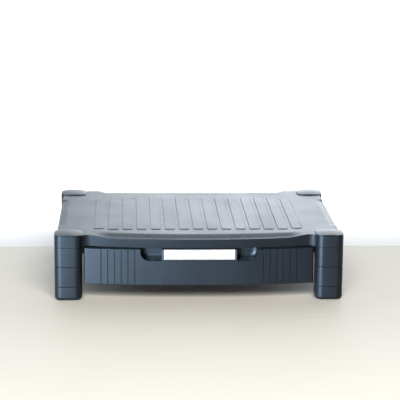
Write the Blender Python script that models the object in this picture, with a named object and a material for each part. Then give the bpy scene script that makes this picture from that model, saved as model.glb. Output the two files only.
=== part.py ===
"""Monitor riser stand: a ribbed deck on four stacked corner legs, with a slide-out drawer.

Frame: +X to the right, +Y away from the user, +Z up, metres. The origin is on the desk, under the
middle of the whole object. "Station" values below are measured back from the front of the legs.
"""

import math

import bmesh
import bpy
from mathutils import Vector

# ---------------------------------------------------------------- driving dimensions, metres
WIDTH = 0.440                # outside of left legs to outside of right legs
LEG_DEPTH = 0.335            # front of front legs to back of rear legs

LEG_SIZE = 0.042             # side of a leg's rounded square
LEG_CORNER = 0.010           # corner radius of that square
LEG_WALL = 0.0030
LEG_EDGE = 0.0006            # chamfer along each joint between stacked leg pieces

PAD_HEIGHT = 0.0030          # rubber sole of a foot
PAD_PROUD = 0.0010           # how far the sole stands out below the foot
PAD_MARGIN = 0.0065          # foot edge to sole edge
FOOT_TOP = 0.0215            # height of the joint above the foot
FOOT_ROUND = 0.0045          # round along the foot's bottom edge
FOOT_PLUG_GAP = 0.0050       # solid floor kept under the foot's hollow
COLUMN_HEIGHT = 0.0306       # one stacking column section
COLUMNS_PER_LEG = 2

SPIGOT_HEIGHT = 0.0090       # plug that enters the piece above
SPIGOT_WALL = 0.0025
PLUG_CLEARANCE = 0.00015     # per side, between a plug and its socket

COLLAR_HEIGHT = 0.0178       # leg collar moulded into the deck, up to the deck's top plane
CAP_HEIGHT = 0.0030          # corner cap above the deck
CAP_ROUND = 0.0012
CAP_PLUG = 0.0060            # depth of the cap's plug in the collar

DECK_WALL = 0.0030
LIP_BOW_RADIUS = 0.825       # the front lip is bowed in plan
LIP_PROUD = 0.0045           # middle of the lip ahead of the legs
SIDE_INSET = 0.0037          # deck side behind the legs' outer faces
REAR_INSET = 0.0030          # deck rear edge ahead of the legs' rear faces
FRONT_FILLET = 0.012         # hollow round from a collar into the lip or the rear edge
SIDE_FILLET = 0.006          # hollow round from a collar into a side
EDGE_DROP = 0.0040           # the front and rear margins sink by this between the corners
SIDE_DROP = 0.0022           # and the side margins by this
FRONT_MARGIN = 0.024
SIDE_MARGIN = 0.0125
REAR_MARGIN = 0.018
FRONT_FLAT_X = 0.054         # level front corner, measured in from a leg's outer face
REAR_FLAT_X = 0.0615         # level rear corner, measured likewise
CORNER_FLAT_Y = 0.072        # level corner, measured along a side from the front or back of the legs
FRONT_BLEND = 0.034          # length over which a margin sinks from the level corner
SIDE_BLEND = 0.011
REAR_BLEND = 0.020

PAD_COUNT = 15               # raised grip bars on the deck
BAR_PITCH = 0.0218
BAR_WIDTH = 0.0150
BAR_RISE = 0.0008
BAR_CORNER = 0.0022
BAR_FRONT = 0.048            # station of the bars' front ends
BAR_REAR_MARGIN = 0.063      # from the bars' rear ends to the back of the legs
END_BAR_SHORTER = 0.0045     # the outermost bars stop short by this, with rounder corners
END_BAR_CORNER = 0.0050

RIB_THICK = 0.0022           # stiffening ribs under the deck
RIB_DEPTH = 0.0060
RIB_COUNT = 4                # cross ribs
RIB_FIRST = 0.060            # station of the first
RIB_REAR_MARGIN = 0.035      # from the last to the back of the legs
RIB_RAIL_GAP = 0.011         # cross rib's end to the rail's flange

RAIL_LEG_GAP = 0.0005        # rail to the legs' inner faces
RAIL_WEB = 0.0025
RAIL_LEDGE = 0.0022
RAIL_LEDGE_REACH = 0.0125    # ledge width, web included
RAIL_FLANGE_REACH = 0.0165   # screwed flange width, web included
RAIL_FRONT_LAP = 0.0020      # rail's front end ahead of the front legs' backs
RAIL_REAR_LAP = 0.0130       # rail's rear end behind the rear legs' fronts
RAIL_SCREW_COUNT = 3
RAIL_SCREW_END = 0.020       # end screws from the rail's ends

FRONT_HEIGHT = 0.0552        # drawer front
DRAWER_TOP_GAP = 0.0025      # lip to drawer front
DRAWER_SIDE_GAP = 0.0030     # leg to drawer front, each side
DRAWER_BOW_RADIUS = 1.30
DRAWER_SET_BACK = 0.0025     # middle of the drawer front behind the middle of the lip
FRONT_BACK = 0.0200          # station of the drawer front's flat back
FRONT_WALL = 0.0028
FRONT_END_ROUND = 0.0025
GROOVES_PER_SIDE = 6
GROOVE_END = 0.0260          # outermost groove from the drawer front's end
GROOVE_PITCH = 0.0102
GROOVE_WIDTH = 0.0016
GROOVE_DEPTH = 0.0014

RECESS_GROOVE = 0.0084       # innermost groove to the finger recess
RECESS_DEPTH = 0.0176        # down from the drawer front's top
RECESS_CORNER = 0.0135
RECESS_BACK = 0.0130         # station of its back wall
RECESS_WALL = 0.0026

FINGER_WIDTH = 0.0326        # open recess beside the label holder
HOLDER_FRONT = 0.0004        # station of its front face
HOLDER_JAMB = 0.0030
HOLDER_SILL = 0.0009
CARD_THICK = 0.0005
CARD_BEHIND = 0.0014         # card behind the holder's front face
CARD_GRIP = 0.0010           # card edge held in each jamb

TRAY_SIDE_GAP = 0.0040       # rail's ledge to the tray's side
TRAY_WALL = 0.0025
TRAY_RAISED = 0.0040         # underside of the tray above the drawer front's lowest edge
TRAY_BELOW_LIP = 0.0072      # top of the tray's running flanges under the lip
TRAY_REAR_MARGIN = 0.039     # tray's back to the back of the legs
FLANGE_THICK = 0.0025
DRAWER_TRAVEL = 0.205        # stop tabs meet the lip when the drawer is fully out
STOP_LENGTH = 0.0080
STOP_WIDTH = 0.0100
STOP_CATCH = 0.0033          # stop tabs reach this far above the lip's bottom edge

SCREW_RADIUS = 0.0015
SCREW_HEAD_RADIUS = 0.0032
SCREW_HEAD = 0.0020
SCREW_LENGTH = 0.0070
HOLE_CLEARANCE = 0.0003
FRONT_SCREW_END = 0.055      # outer screws from the drawer front's ends
FRONT_SCREW_RAISED = 0.020   # above the drawer front's lowest edge
BOSS_RADIUS = 0.0042

GAP = 0.0003                 # kept between pieces that touch
RUN = 0.0005                 # kept between the drawer's flanges and its rails
CORNER_STEPS = 4
CUT_OVER = 0.002             # how far a cutter runs past the face it opens

# ---------------------------------------------------------------- values that follow
HALF_W = WIDTH / 2
Y_SHIFT = (LEG_DEPTH - LIP_PROUD) / 2
LIP_BOTTOM = FOOT_TOP + COLUMNS_PER_LEG * COLUMN_HEIGHT
DECK_TOP = LIP_BOTTOM + COLLAR_HEIGHT
DECK_UNDER = DECK_TOP - DECK_WALL
CAP_TOP = DECK_TOP + CAP_HEIGHT
LEG_CENTRE_X = HALF_W - LEG_SIZE / 2
LEG_INNER_X = HALF_W - LEG_SIZE
SOCKET_HALF = LEG_SIZE / 2 - LEG_WALL
SOCKET_CORNER = LEG_CORNER - LEG_WALL
PLUG_HALF = SOCKET_HALF - PLUG_CLEARANCE
PLUG_CORNER = SOCKET_CORNER - PLUG_CLEARANCE
BORE_HALF = PLUG_HALF - SPIGOT_WALL
BORE_CORNER = PLUG_CORNER - SPIGOT_WALL
SIDE_X = HALF_W - SIDE_INSET
REAR_STATION = LEG_DEPTH - REAR_INSET
FRONT_TOP = LIP_BOTTOM - DRAWER_TOP_GAP
FRONT_HALF = LEG_INNER_X - DRAWER_SIDE_GAP
FRONT_APEX = DRAWER_SET_BACK - LIP_PROUD
DRAWER_BOTTOM = FRONT_TOP - FRONT_HEIGHT
GROOVE_FIRST = FRONT_HALF - GROOVE_END - (GROOVES_PER_SIDE - 1) * GROOVE_PITCH
RECESS_HALF = GROOVE_FIRST - RECESS_GROOVE
HOLDER_HALF = RECESS_HALF - FINGER_WIDTH
RECESS_FLOOR = FRONT_TOP - RECESS_DEPTH
FRONT_SCREW_REACH = FRONT_HALF - FRONT_SCREW_END
FRONT_SCREWS = (-FRONT_SCREW_REACH, 0.0, FRONT_SCREW_REACH)
FRONT_SCREW_HEIGHT = DRAWER_BOTTOM + FRONT_SCREW_RAISED
TRAY_TOP = LIP_BOTTOM - TRAY_BELOW_LIP
TRAY_FLOOR = DRAWER_BOTTOM + TRAY_RAISED
TRAY_FRONT = FRONT_BACK + GAP
TRAY_BACK = LEG_DEPTH - TRAY_REAR_MARGIN
STOP_TOP = LIP_BOTTOM + STOP_CATCH
LEDGE_TOP = TRAY_TOP - FLANGE_THICK - RUN
RAIL_TOP = DECK_UNDER - GAP
RAIL_OUT = LEG_INNER_X - RAIL_LEG_GAP
RAIL_FRONT = LEG_SIZE - RAIL_FRONT_LAP
RAIL_REAR = LEG_DEPTH - LEG_SIZE + RAIL_REAR_LAP
TRAY_HALF = RAIL_OUT - RAIL_LEDGE_REACH - TRAY_SIDE_GAP
FLANGE_HALF = RAIL_OUT - RAIL_WEB - RUN
BAR_REAR = LEG_DEPTH - BAR_REAR_MARGIN
RIB_REACH = RAIL_OUT - RAIL_FLANGE_REACH - RIB_RAIL_GAP
LIP_AT_STOP = LIP_BOW_RADIUS - LIP_PROUD - math.sqrt(LIP_BOW_RADIUS ** 2 - TRAY_HALF ** 2)
STOP_FRONT = LIP_AT_STOP + DECK_WALL + GAP + DRAWER_TRAVEL

CORNERS = (
    ("front_left", -1, 0),
    ("front_right", 1, 0),
    ("rear_left", -1, 1),
    ("rear_right", 1, 1),
)


def spaced(first, last, count):
    """Evenly spaced values, both ends included."""
    return [first + (last - first) * i / (count - 1) for i in range(count)]


RIB_STATIONS = spaced(RIB_FIRST, LEG_DEPTH - RIB_REAR_MARGIN, RIB_COUNT)
RAIL_SCREWS = spaced(RAIL_FRONT + RAIL_SCREW_END, RAIL_REAR - RAIL_SCREW_END, RAIL_SCREW_COUNT)


def y_at(station):
    """World Y of a distance measured back from the front of the legs."""
    return station - Y_SHIFT


def smooth_step(value, start, end):
    """0 at start, 1 at end, level at both."""
    t = min(max((value - start) / (end - start), 0.0), 1.0)
    return t * t * (3.0 - 2.0 * t)


def lip_station(x):
    """Front face of the lip."""
    return LIP_BOW_RADIUS - LIP_PROUD - math.sqrt(LIP_BOW_RADIUS ** 2 - x * x)


def drawer_station(x):
    """Front face of the drawer."""
    return FRONT_APEX + DRAWER_BOW_RADIUS - math.sqrt(DRAWER_BOW_RADIUS ** 2 - x * x)


def deck_drop(x, station):
    """How far the deck's surface lies below its top plane."""
    along_x = abs(x)
    front_flat = HALF_W - FRONT_FLAT_X
    rear_flat = HALF_W - REAR_FLAT_X
    front = 1.0 - smooth_step(station - lip_station(x), 0.0, FRONT_MARGIN)
    front *= 1.0 - smooth_step(along_x, front_flat - FRONT_BLEND, front_flat)
    rear = 1.0 - smooth_step(REAR_STATION - station, 0.0, REAR_MARGIN)
    rear *= 1.0 - smooth_step(along_x, rear_flat - REAR_BLEND, rear_flat)
    side = 1.0 - smooth_step(SIDE_X - along_x, 0.0, SIDE_MARGIN)
    side *= smooth_step(station, CORNER_FLAT_Y, CORNER_FLAT_Y + SIDE_BLEND)
    side *= 1.0 - smooth_step(station, LEG_DEPTH - CORNER_FLAT_Y - SIDE_BLEND, LEG_DEPTH - CORNER_FLAT_Y)
    return max(EDGE_DROP * front, EDGE_DROP * rear, SIDE_DROP * side)


# ---------------------------------------------------------------- outlines in plan
def arc(centre, radius, start, end, steps):
    """Points on an arc, both ends included; angles in radians."""
    points = []
    for i in range(steps + 1):
        angle = start + (end - start) * i / steps
        points.append((centre[0] + radius * math.cos(angle), centre[1] + radius * math.sin(angle)))
    return points


def rounded_rectangle(half_x, half_y, radius, steps=CORNER_STEPS):
    """Counter-clockwise outline about the origin."""
    points = []
    for quarter, (sx, sy) in enumerate(((1, 1), (-1, 1), (-1, -1), (1, -1))):
        centre = (sx * (half_x - radius), sy * (half_y - radius))
        start = quarter * math.pi / 2
        points += arc(centre, radius, start, start + math.pi / 2, steps)
    return points


def circle(radius, steps=14):
    """Closed outline about the origin."""
    return arc((0.0, 0.0), radius, 0.0, math.tau, steps)[:-1]


def angle_of(centre, point):
    return math.atan2(point[1] - centre[1], point[0] - centre[0])


def collar_front_turn():
    """Right front collar: from the bowed lip through the hollow round to the collar's side."""
    round_c = (LEG_INNER_X + LEG_CORNER, LEG_CORNER)
    bow_c = (0.0, LIP_BOW_RADIUS - LIP_PROUD)
    reach = LIP_BOW_RADIUS + FRONT_FILLET
    span = LEG_CORNER + FRONT_FILLET
    # the hollow round touches the bow and the collar's corner from outside both
    across = math.hypot(round_c[0] - bow_c[0], round_c[1] - bow_c[1])
    along = (across ** 2 + reach ** 2 - span ** 2) / (2.0 * across)
    lift = math.sqrt(reach ** 2 - along ** 2)
    ux = (round_c[0] - bow_c[0]) / across
    uy = (round_c[1] - bow_c[1]) / across
    hollow_c = (bow_c[0] + ux * along + uy * lift, bow_c[1] + uy * along - ux * lift)
    if hollow_c[0] > round_c[0]:
        hollow_c = (bow_c[0] + ux * along - uy * lift, bow_c[1] + uy * along + ux * lift)
    touch_bow = angle_of(hollow_c, bow_c)
    touch_collar = angle_of(hollow_c, round_c)
    points = arc(hollow_c, FRONT_FILLET, touch_bow, touch_collar, CORNER_STEPS)
    back = angle_of(round_c, hollow_c)
    points += arc(round_c, LEG_CORNER, back % math.tau, 1.5 * math.pi, CORNER_STEPS)[1:]
    bow_end = LIP_BOW_RADIUS * math.sin(math.atan2(hollow_c[0], bow_c[1] - hollow_c[1]))
    return points, bow_end


def collar_side_turn():
    """Right front collar: from its outer face through the hollow round to the deck's side."""
    round_c = (HALF_W - LEG_CORNER, LEG_SIZE - LEG_CORNER)
    across = SIDE_X + SIDE_FILLET - round_c[0]
    span = LEG_CORNER + SIDE_FILLET
    hollow_c = (SIDE_X + SIDE_FILLET, round_c[1] + math.sqrt(span ** 2 - across ** 2))
    points = arc(round_c, LEG_CORNER, 0.0, angle_of(round_c, hollow_c), CORNER_STEPS)
    points += arc(hollow_c, SIDE_FILLET, angle_of(hollow_c, round_c) % math.tau, math.pi, CORNER_STEPS)[1:]
    return points


def collar_rear_turn():
    """Right rear collar: from its rear face through the hollow round to the deck's rear edge."""
    round_c = (LEG_INNER_X + LEG_CORNER, LEG_DEPTH - LEG_CORNER)
    hollow_y = REAR_STATION + FRONT_FILLET
    span = LEG_CORNER + FRONT_FILLET
    hollow_c = (round_c[0] - math.sqrt(span ** 2 - (hollow_y - round_c[1]) ** 2), hollow_y)
    points = arc(round_c, LEG_CORNER, math.pi / 2, angle_of(round_c, hollow_c) % math.tau, CORNER_STEPS)
    points += arc(hollow_c, FRONT_FILLET, angle_of(hollow_c, round_c), -math.pi / 2, CORNER_STEPS)[1:]
    return points


def deck_outline():
    """Whole deck in plan, counter-clockwise, as (x, station)."""
    front_turn, bow_end = collar_front_turn()
    side_turn = collar_side_turn()
    rear_turn = collar_rear_turn()
    outer_front = (HALF_W - LEG_CORNER, LEG_CORNER)
    outer_rear = (HALF_W - LEG_CORNER, LEG_DEPTH - LEG_CORNER)
    right = []
    bow_steps = 10
    for i in range(bow_steps):
        x = bow_end * i / bow_steps
        right.append((x, lip_station(x)))
    right += front_turn
    right += arc(outer_front, LEG_CORNER, -math.pi / 2, 0.0, CORNER_STEPS)
    right += side_turn
    right += [(x, LEG_DEPTH - station) for x, station in reversed(side_turn)]
    right += arc(outer_rear, LEG_CORNER, 0.0, math.pi / 2, CORNER_STEPS)
    right += rear_turn
    left = [(-x, station) for x, station in reversed(right) if x > 1e-6]
    return tidy_outline(right + left)


def tidy_outline(points):
    """Drops points that fall on their neighbour."""
    kept = []
    for point in points:
        if not kept or math.dist(point, kept[-1]) > 1e-5:
            kept.append(point)
    if math.dist(kept[0], kept[-1]) < 1e-5:
        kept.pop()
    return kept


def cavity_outline():
    """Hollow under the deck, between the collars, as (x, station)."""
    right = []
    steps = 8
    for i in range(steps + 1):
        x = LEG_INNER_X * i / steps
        right.append((x, lip_station(x) + DECK_WALL))
    right += [
        (LEG_INNER_X, LEG_SIZE),
        (SIDE_X - DECK_WALL, LEG_SIZE),
        (SIDE_X - DECK_WALL, LEG_DEPTH - LEG_SIZE),
        (LEG_INNER_X, LEG_DEPTH - LEG_SIZE),
        (LEG_INNER_X, REAR_STATION - DECK_WALL),
    ]
    left = [(-x, station) for x, station in reversed(right) if x > 1e-6]
    return right + left


# ---------------------------------------------------------------- mesh helpers
def clear_scene():
    for item in list(bpy.data.objects):
        bpy.data.objects.remove(item, do_unlink=True)


def make_material(name, colour, roughness, metallic=0.0):
    material = bpy.data.materials.new(name)
    material.use_nodes = True
    shader = material.node_tree.nodes["Principled BSDF"]
    shader.inputs["Base Color"].default_value = (*colour, 1.0)
    shader.inputs["Roughness"].default_value = roughness
    shader.inputs["Metallic"].default_value = metallic
    return material


def add_object(name, bm, material=None, location=(0.0, 0.0, 0.0), parent=None):
    """Turns a bmesh into a named object, smooth where it is round."""
    bmesh.ops.recalc_face_normals(bm, faces=bm.faces)
    mesh = bpy.data.meshes.new(name)
    bm.to_mesh(mesh)
    bm.free()
    mesh.shade_smooth()
    mesh.set_sharp_from_angle(angle=math.radians(32))
    if material:
        mesh.materials.append(material)
    item = bpy.data.objects.new(name, mesh)
    bpy.context.scene.collection.objects.link(item)
    item.location = location
    item.parent = parent
    return item


def prism(bm, outline, low, high):
    """Closed upright prism over an outline of (x, y)."""
    base = bm.faces.new([bm.verts.new((x, y, low)) for x, y in outline])
    raised = bmesh.ops.extrude_face_region(bm, geom=[base])
    top = [item for item in raised["geom"] if isinstance(item, bmesh.types.BMVert)]
    bmesh.ops.translate(bm, verts=top, vec=(0.0, 0.0, high - low))
    return top


def box(bm, low, high):
    """Axis-aligned box from its lowest to its highest corner."""
    outline = ((low[0], low[1]), (high[0], low[1]), (high[0], high[1]), (low[0], high[1]))
    prism(bm, outline, low[2], high[2])


def ring_stack(bm, rings, close_start=False, close_end=False):
    """Skins a row of equal outlines, each a list of (x, y) and a height."""
    loops = []
    for outline, height in rings:
        loops.append([bm.verts.new((x, y, height)) for x, y in outline])
    pairs = list(zip(loops, loops[1:]))
    if not close_start:
        pairs.append((loops[-1], loops[0]))
    for lower, upper in pairs:
        for i in range(len(lower)):
            j = (i + 1) % len(lower)
            bm.faces.new((lower[i], lower[j], upper[j], upper[i]))
    if close_start:
        bm.faces.new(loops[0])
    if close_end:
        bm.faces.new(loops[-1])


def square(half, radius):
    return rounded_rectangle(half, half, radius)


def boolean(target, cutter, operation="DIFFERENCE"):
    """Adds an exact Boolean and hides its tool shape."""
    cutter.hide_render = True
    cutter.display_type = "WIRE"
    modifier = target.modifiers.new(cutter.name, "BOOLEAN")
    modifier.operation = operation
    modifier.solver = "EXACT"
    modifier.object = cutter


def place(outline, dx, dy):
    return [(x + dx, y + dy) for x, y in outline]


def in_world(outline):
    """Outline of (x, station) as (x, world y)."""
    return [(x, y_at(station)) for x, station in outline]


def disc_along_y(bm, x, station, height, radius, length):
    """Closed round bar from a station backwards."""
    rim = [bm.verts.new((x + dx, y_at(station), height + dz)) for dx, dz in circle(radius)]
    base = bm.faces.new(rim)
    raised = bmesh.ops.extrude_face_region(bm, geom=[base])
    far = [item for item in raised["geom"] if isinstance(item, bmesh.types.BMVert)]
    bmesh.ops.translate(bm, verts=far, vec=(0.0, length, 0.0))


# ---------------------------------------------------------------- deck
def sunk_slab(outline, low, top, name):
    """Slab whose top follows the deck's sinking margins."""
    bm = bmesh.new()
    prism(bm, in_world(outline), low, top)
    flat_x = HALF_W - FRONT_FLAT_X
    cuts_x = []
    for part in range(5):
        cuts_x.append(flat_x - FRONT_BLEND * part / 4)
    for part in range(4):
        cuts_x.append(SIDE_X - SIDE_MARGIN * (part + 0.01) / 3)
    cuts_y = [LIP_BOW_RADIUS - math.sqrt(LIP_BOW_RADIUS ** 2 - flat_x ** 2) + FRONT_MARGIN]
    for part in range(4):
        cuts_y.append(CORNER_FLAT_Y + SIDE_BLEND * part / 3)
        cuts_y.append(LEG_DEPTH - CORNER_FLAT_Y - SIDE_BLEND * part / 3)
        cuts_y.append(lip_station(0.0) + FRONT_MARGIN * (part + 1) / 4)
        cuts_y.append(REAR_STATION - REAR_MARGIN * (part + 0.6) / 4)
    planes = [((x * side, 0.0, 0.0), (1.0, 0.0, 0.0)) for x in cuts_x for side in (-1, 1)]
    planes += [((0.0, y_at(station), 0.0), (0.0, 1.0, 0.0)) for station in cuts_y]
    for point, normal in planes:
        geometry = bm.verts[:] + bm.edges[:] + bm.faces[:]
        bmesh.ops.bisect_plane(bm, geom=geometry, dist=1e-6, plane_co=point, plane_no=normal)
    bmesh.ops.triangulate(bm, faces=bm.faces)
    for vert in bm.verts:
        if vert.co.z > top - 1e-6:
            vert.co.z -= deck_drop(vert.co.x, vert.co.y + Y_SHIFT)
    return add_object(name, bm)


def bar_outline(index):
    """One grip bar in plan, as (x, station)."""
    is_end = index in (0, PAD_COUNT - 1)
    shorter = END_BAR_SHORTER if is_end else 0.0
    corner = END_BAR_CORNER if is_end else BAR_CORNER
    half_y = (BAR_REAR - BAR_FRONT) / 2 - shorter
    x = (index - (PAD_COUNT - 1) / 2) * BAR_PITCH
    return place(rounded_rectangle(BAR_WIDTH / 2, half_y, corner, 3), x, (BAR_FRONT + BAR_REAR) / 2)


def build_deck(material, parent):
    deck = sunk_slab(deck_outline(), LIP_BOTTOM, DECK_TOP, "deck")
    deck.data.materials.append(material)
    deck.parent = parent
    hollow = sunk_slab(cavity_outline(), LIP_BOTTOM - CUT_OVER, DECK_UNDER, "deck_hollow_cutter")
    boolean(deck, hollow)

    bm = bmesh.new()
    for _, side, rear in CORNERS:
        y = y_at(leg_station(rear))
        outline = place(square(SOCKET_HALF, SOCKET_CORNER), side * LEG_CENTRE_X, y)
        prism(bm, outline, LIP_BOTTOM - CUT_OVER, DECK_TOP + CUT_OVER)
    boolean(deck, add_object("collar_socket_cutter", bm))

    bm = bmesh.new()
    for index in range(PAD_COUNT):
        prism(bm, in_world(bar_outline(index)), DECK_TOP - DECK_WALL / 2, DECK_TOP + BAR_RISE)
    boolean(deck, add_object("grip_bar_shape", bm), "UNION")

    rib_low = DECK_UNDER - RIB_DEPTH
    rib_high = DECK_UNDER + DECK_WALL / 2
    bm = bmesh.new()
    for station in RIB_STATIONS:
        y = y_at(station)
        box(bm, (-RIB_REACH, y - RIB_THICK / 2, rib_low), (RIB_REACH, y + RIB_THICK / 2, rib_high))
    boolean(deck, add_object("cross_rib_shape", bm), "UNION")
    bm = bmesh.new()
    first = y_at(RIB_STATIONS[0]) - RIB_THICK
    last = y_at(RIB_STATIONS[-1]) + RIB_THICK
    for step in (-1, 0, 1):
        x = step * RIB_REACH / 2
        box(bm, (x - RIB_THICK / 2, first, rib_low), (x + RIB_THICK / 2, last, rib_high))
    boolean(deck, add_object("long_rib_shape", bm), "UNION")

    bm = bmesh.new()
    for side in (-1, 1):
        for station in RAIL_SCREWS:
            hole = place(circle(SCREW_RADIUS + HOLE_CLEARANCE / 2, 12), side * rail_screw_x(), y_at(station))
            prism(bm, hole, DECK_UNDER - CUT_OVER, DECK_UNDER + DECK_WALL - 2 * GAP)
    boolean(deck, add_object("rail_screw_hole_cutter", bm))
    return deck


# ---------------------------------------------------------------- legs
def leg_station(rear):
    return LEG_DEPTH - LEG_SIZE / 2 if rear else LEG_SIZE / 2


def chamfered(low, high, outer=LEG_SIZE / 2):
    """Outer rings of a leg piece from its bottom to its top, edges eased."""
    eased = square(outer - LEG_EDGE, LEG_CORNER - LEG_EDGE)
    full = square(outer, LEG_CORNER)
    return [(eased, low), (full, low + LEG_EDGE), (full, high - LEG_EDGE), (eased, high)]


def column_mesh():
    """Stacking section: a socket below, a plug on top and a hollow through it."""
    low = GAP / 2
    high = COLUMN_HEIGHT - GAP / 2
    plug_top = COLUMN_HEIGHT + SPIGOT_HEIGHT
    socket_top = SPIGOT_HEIGHT + 2 * GAP
    plug = square(PLUG_HALF, PLUG_CORNER)
    bore = square(BORE_HALF, BORE_CORNER)
    socket = square(SOCKET_HALF, SOCKET_CORNER)
    rings = chamfered(low, high)
    rings += [(plug, high), (plug, plug_top), (bore, plug_top)]
    rings += [(bore, socket_top), (socket, socket_top), (socket, low)]
    bm = bmesh.new()
    ring_stack(bm, rings)
    return bm


def foot_mesh():
    """Foot: rounded bottom edge, pocket for its sole and a hollow plug on top."""
    low = PAD_PROUD
    high = FOOT_TOP - GAP / 2
    plug_top = FOOT_TOP + SPIGOT_HEIGHT
    plug = square(PLUG_HALF, PLUG_CORNER)
    bore = square(BORE_HALF, BORE_CORNER)
    pocket_half = LEG_SIZE / 2 - PAD_MARGIN + GAP
    pocket_corner = LEG_CORNER - PAD_MARGIN / 2
    pocket = square(pocket_half, pocket_corner)
    rings = [(pocket, PAD_HEIGHT + GAP), (pocket, low)]
    round_steps = 3
    for i in range(round_steps + 1):
        angle = math.pi / 2 * i / round_steps
        inset = FOOT_ROUND * (1.0 - math.sin(angle))
        height = low + FOOT_ROUND * (1.0 - math.cos(angle))
        rings.append((square(LEG_SIZE / 2 - inset, LEG_CORNER - inset), height))
    rings += chamfered(low, high)[2:]
    rings += [(plug, high), (plug, plug_top), (bore, plug_top)]
    rings += [(bore, PAD_HEIGHT + FOOT_PLUG_GAP)]
    bm = bmesh.new()
    ring_stack(bm, rings, close_start=True, close_end=True)
    return bm


def sole_mesh():
    half = LEG_SIZE / 2 - PAD_MARGIN
    corner = LEG_CORNER - PAD_MARGIN / 2
    ease = LEG_EDGE / 2
    bm = bmesh.new()
    rings = [
        (square(half - ease, corner - ease), 0.0),
        (square(half, corner), ease),
        (square(half, corner), PAD_HEIGHT),
    ]
    ring_stack(bm, rings, close_start=True, close_end=True)
    return bm


def cap_mesh():
    """Corner cap: a low rounded lid with a hollow plug under it."""
    low = GAP
    plug = square(PLUG_HALF, PLUG_CORNER)
    bore = square(BORE_HALF, BORE_CORNER)
    rings = [(bore, low), (bore, -CAP_PLUG), (plug, -CAP_PLUG), (plug, low)]
    rings.append((square(LEG_SIZE / 2, LEG_CORNER), low))
    round_steps = 3
    for i in range(round_steps + 1):
        angle = math.pi / 2 * i / round_steps
        inset = CAP_ROUND * (1.0 - math.cos(angle))
        height = CAP_HEIGHT - CAP_ROUND * (1.0 - math.sin(angle))
        rings.append((square(LEG_SIZE / 2 - inset, LEG_CORNER - inset), height))
    bm = bmesh.new()
    ring_stack(bm, rings, close_start=True, close_end=True)
    return bm


def build_leg(corner, side, rear, plastic, rubber, parent):
    x = side * LEG_CENTRE_X
    y = y_at(leg_station(rear))
    add_object("foot_" + corner, foot_mesh(), plastic, (x, y, 0.0), parent)
    add_object("foot_pad_" + corner, sole_mesh(), rubber, (x, y, 0.0), parent)
    for level in range(COLUMNS_PER_LEG):
        name = ("column_lower_", "column_upper_")[level] + corner
        height = FOOT_TOP + level * COLUMN_HEIGHT
        add_object(name, column_mesh(), plastic, (x, y, height), parent)
    add_object("corner_cap_" + corner, cap_mesh(), plastic, (x, y, DECK_TOP), parent)


# ---------------------------------------------------------------- drawer rails
def rail_screw_x():
    """Middle of the open part of a rail's screwed flange."""
    return RAIL_OUT - (RAIL_FLANGE_REACH + RAIL_WEB) / 2


def rail_outline():
    """Right rail's section as (x, z): web, running channel and screwed flange."""
    web = RAIL_OUT - RAIL_WEB
    ledge_in = RAIL_OUT - RAIL_LEDGE_REACH
    flange_in = RAIL_OUT - RAIL_FLANGE_REACH
    guide_low = TRAY_TOP + RUN
    return [
        (RAIL_OUT, LEDGE_TOP - RAIL_LEDGE),
        (RAIL_OUT, RAIL_TOP),
        (flange_in, RAIL_TOP),
        (flange_in, RAIL_TOP - RAIL_LEDGE),
        (web, RAIL_TOP - RAIL_LEDGE),
        (web, guide_low + RAIL_LEDGE),
        (ledge_in, guide_low + RAIL_LEDGE),
        (ledge_in, guide_low),
        (web, guide_low),
        (web, LEDGE_TOP),
        (ledge_in, LEDGE_TOP),
        (ledge_in, LEDGE_TOP - RAIL_LEDGE),
    ]


def build_rail(name, side, plastic, steel, parent):
    bm = bmesh.new()
    section = [bm.verts.new((side * x, y_at(RAIL_FRONT), z)) for x, z in rail_outline()]
    raised = bmesh.ops.extrude_face_region(bm, geom=[bm.faces.new(section)])
    far = [item for item in raised["geom"] if isinstance(item, bmesh.types.BMVert)]
    bmesh.ops.translate(bm, verts=far, vec=(0.0, RAIL_REAR - RAIL_FRONT, 0.0))
    rail = add_object("drawer_rail_" + name, bm, plastic, parent=parent)

    bm = bmesh.new()
    for station in RAIL_SCREWS:
        hole = place(circle(SCREW_RADIUS + HOLE_CLEARANCE, 12), side * rail_screw_x(), y_at(station))
        prism(bm, hole, RAIL_TOP - RAIL_LEDGE - CUT_OVER, RAIL_TOP + CUT_OVER)
    boolean(rail, add_object("rail_hole_cutter_" + name, bm))

    for number, station in enumerate(RAIL_SCREWS, start=1):
        place_at = (side * rail_screw_x(), y_at(station), RAIL_TOP - RAIL_LEDGE - GAP)
        screw_name = "rail_screw_{}_{}".format(name, number)
        depth = RAIL_LEDGE + DECK_WALL - 3 * GAP
        add_object(screw_name, screw_mesh(depth), steel, place_at, parent)


def screw_mesh(length):
    """Pan-head screw: its head's seat at the origin, shank up, cross slot below."""
    head = circle(SCREW_HEAD_RADIUS)
    shank = circle(SCREW_RADIUS)
    crown = circle(SCREW_HEAD_RADIUS * 0.72)
    bm = bmesh.new()
    rings = [(crown, -SCREW_HEAD), (head, -SCREW_HEAD * 0.45), (head, 0.0), (shank, 0.0), (shank, length)]
    ring_stack(bm, rings, close_start=True, close_end=True)
    return bm


# ---------------------------------------------------------------- drawer
def front_outline(inset=0.0):
    """Drawer front in plan, as (x, station), shrunk by an inset from its front and its ends."""
    half = FRONT_HALF - inset
    corner = max(FRONT_END_ROUND - inset, 0.0004)
    points = []
    steps = 14
    reach = half - corner
    for i in range(steps + 1):
        x = -reach + 2.0 * reach * i / steps
        points.append((x, drawer_station(x) + inset))
    right = points[-1]
    points += arc((reach, right[1] + corner), corner, -math.pi / 2, 0.0, 3)[1:]
    points += [(half, FRONT_BACK), (-half, FRONT_BACK)]
    points += arc((-reach, right[1] + corner), corner, -math.pi, -math.pi / 2, 3)[:-1]
    return points


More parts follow.
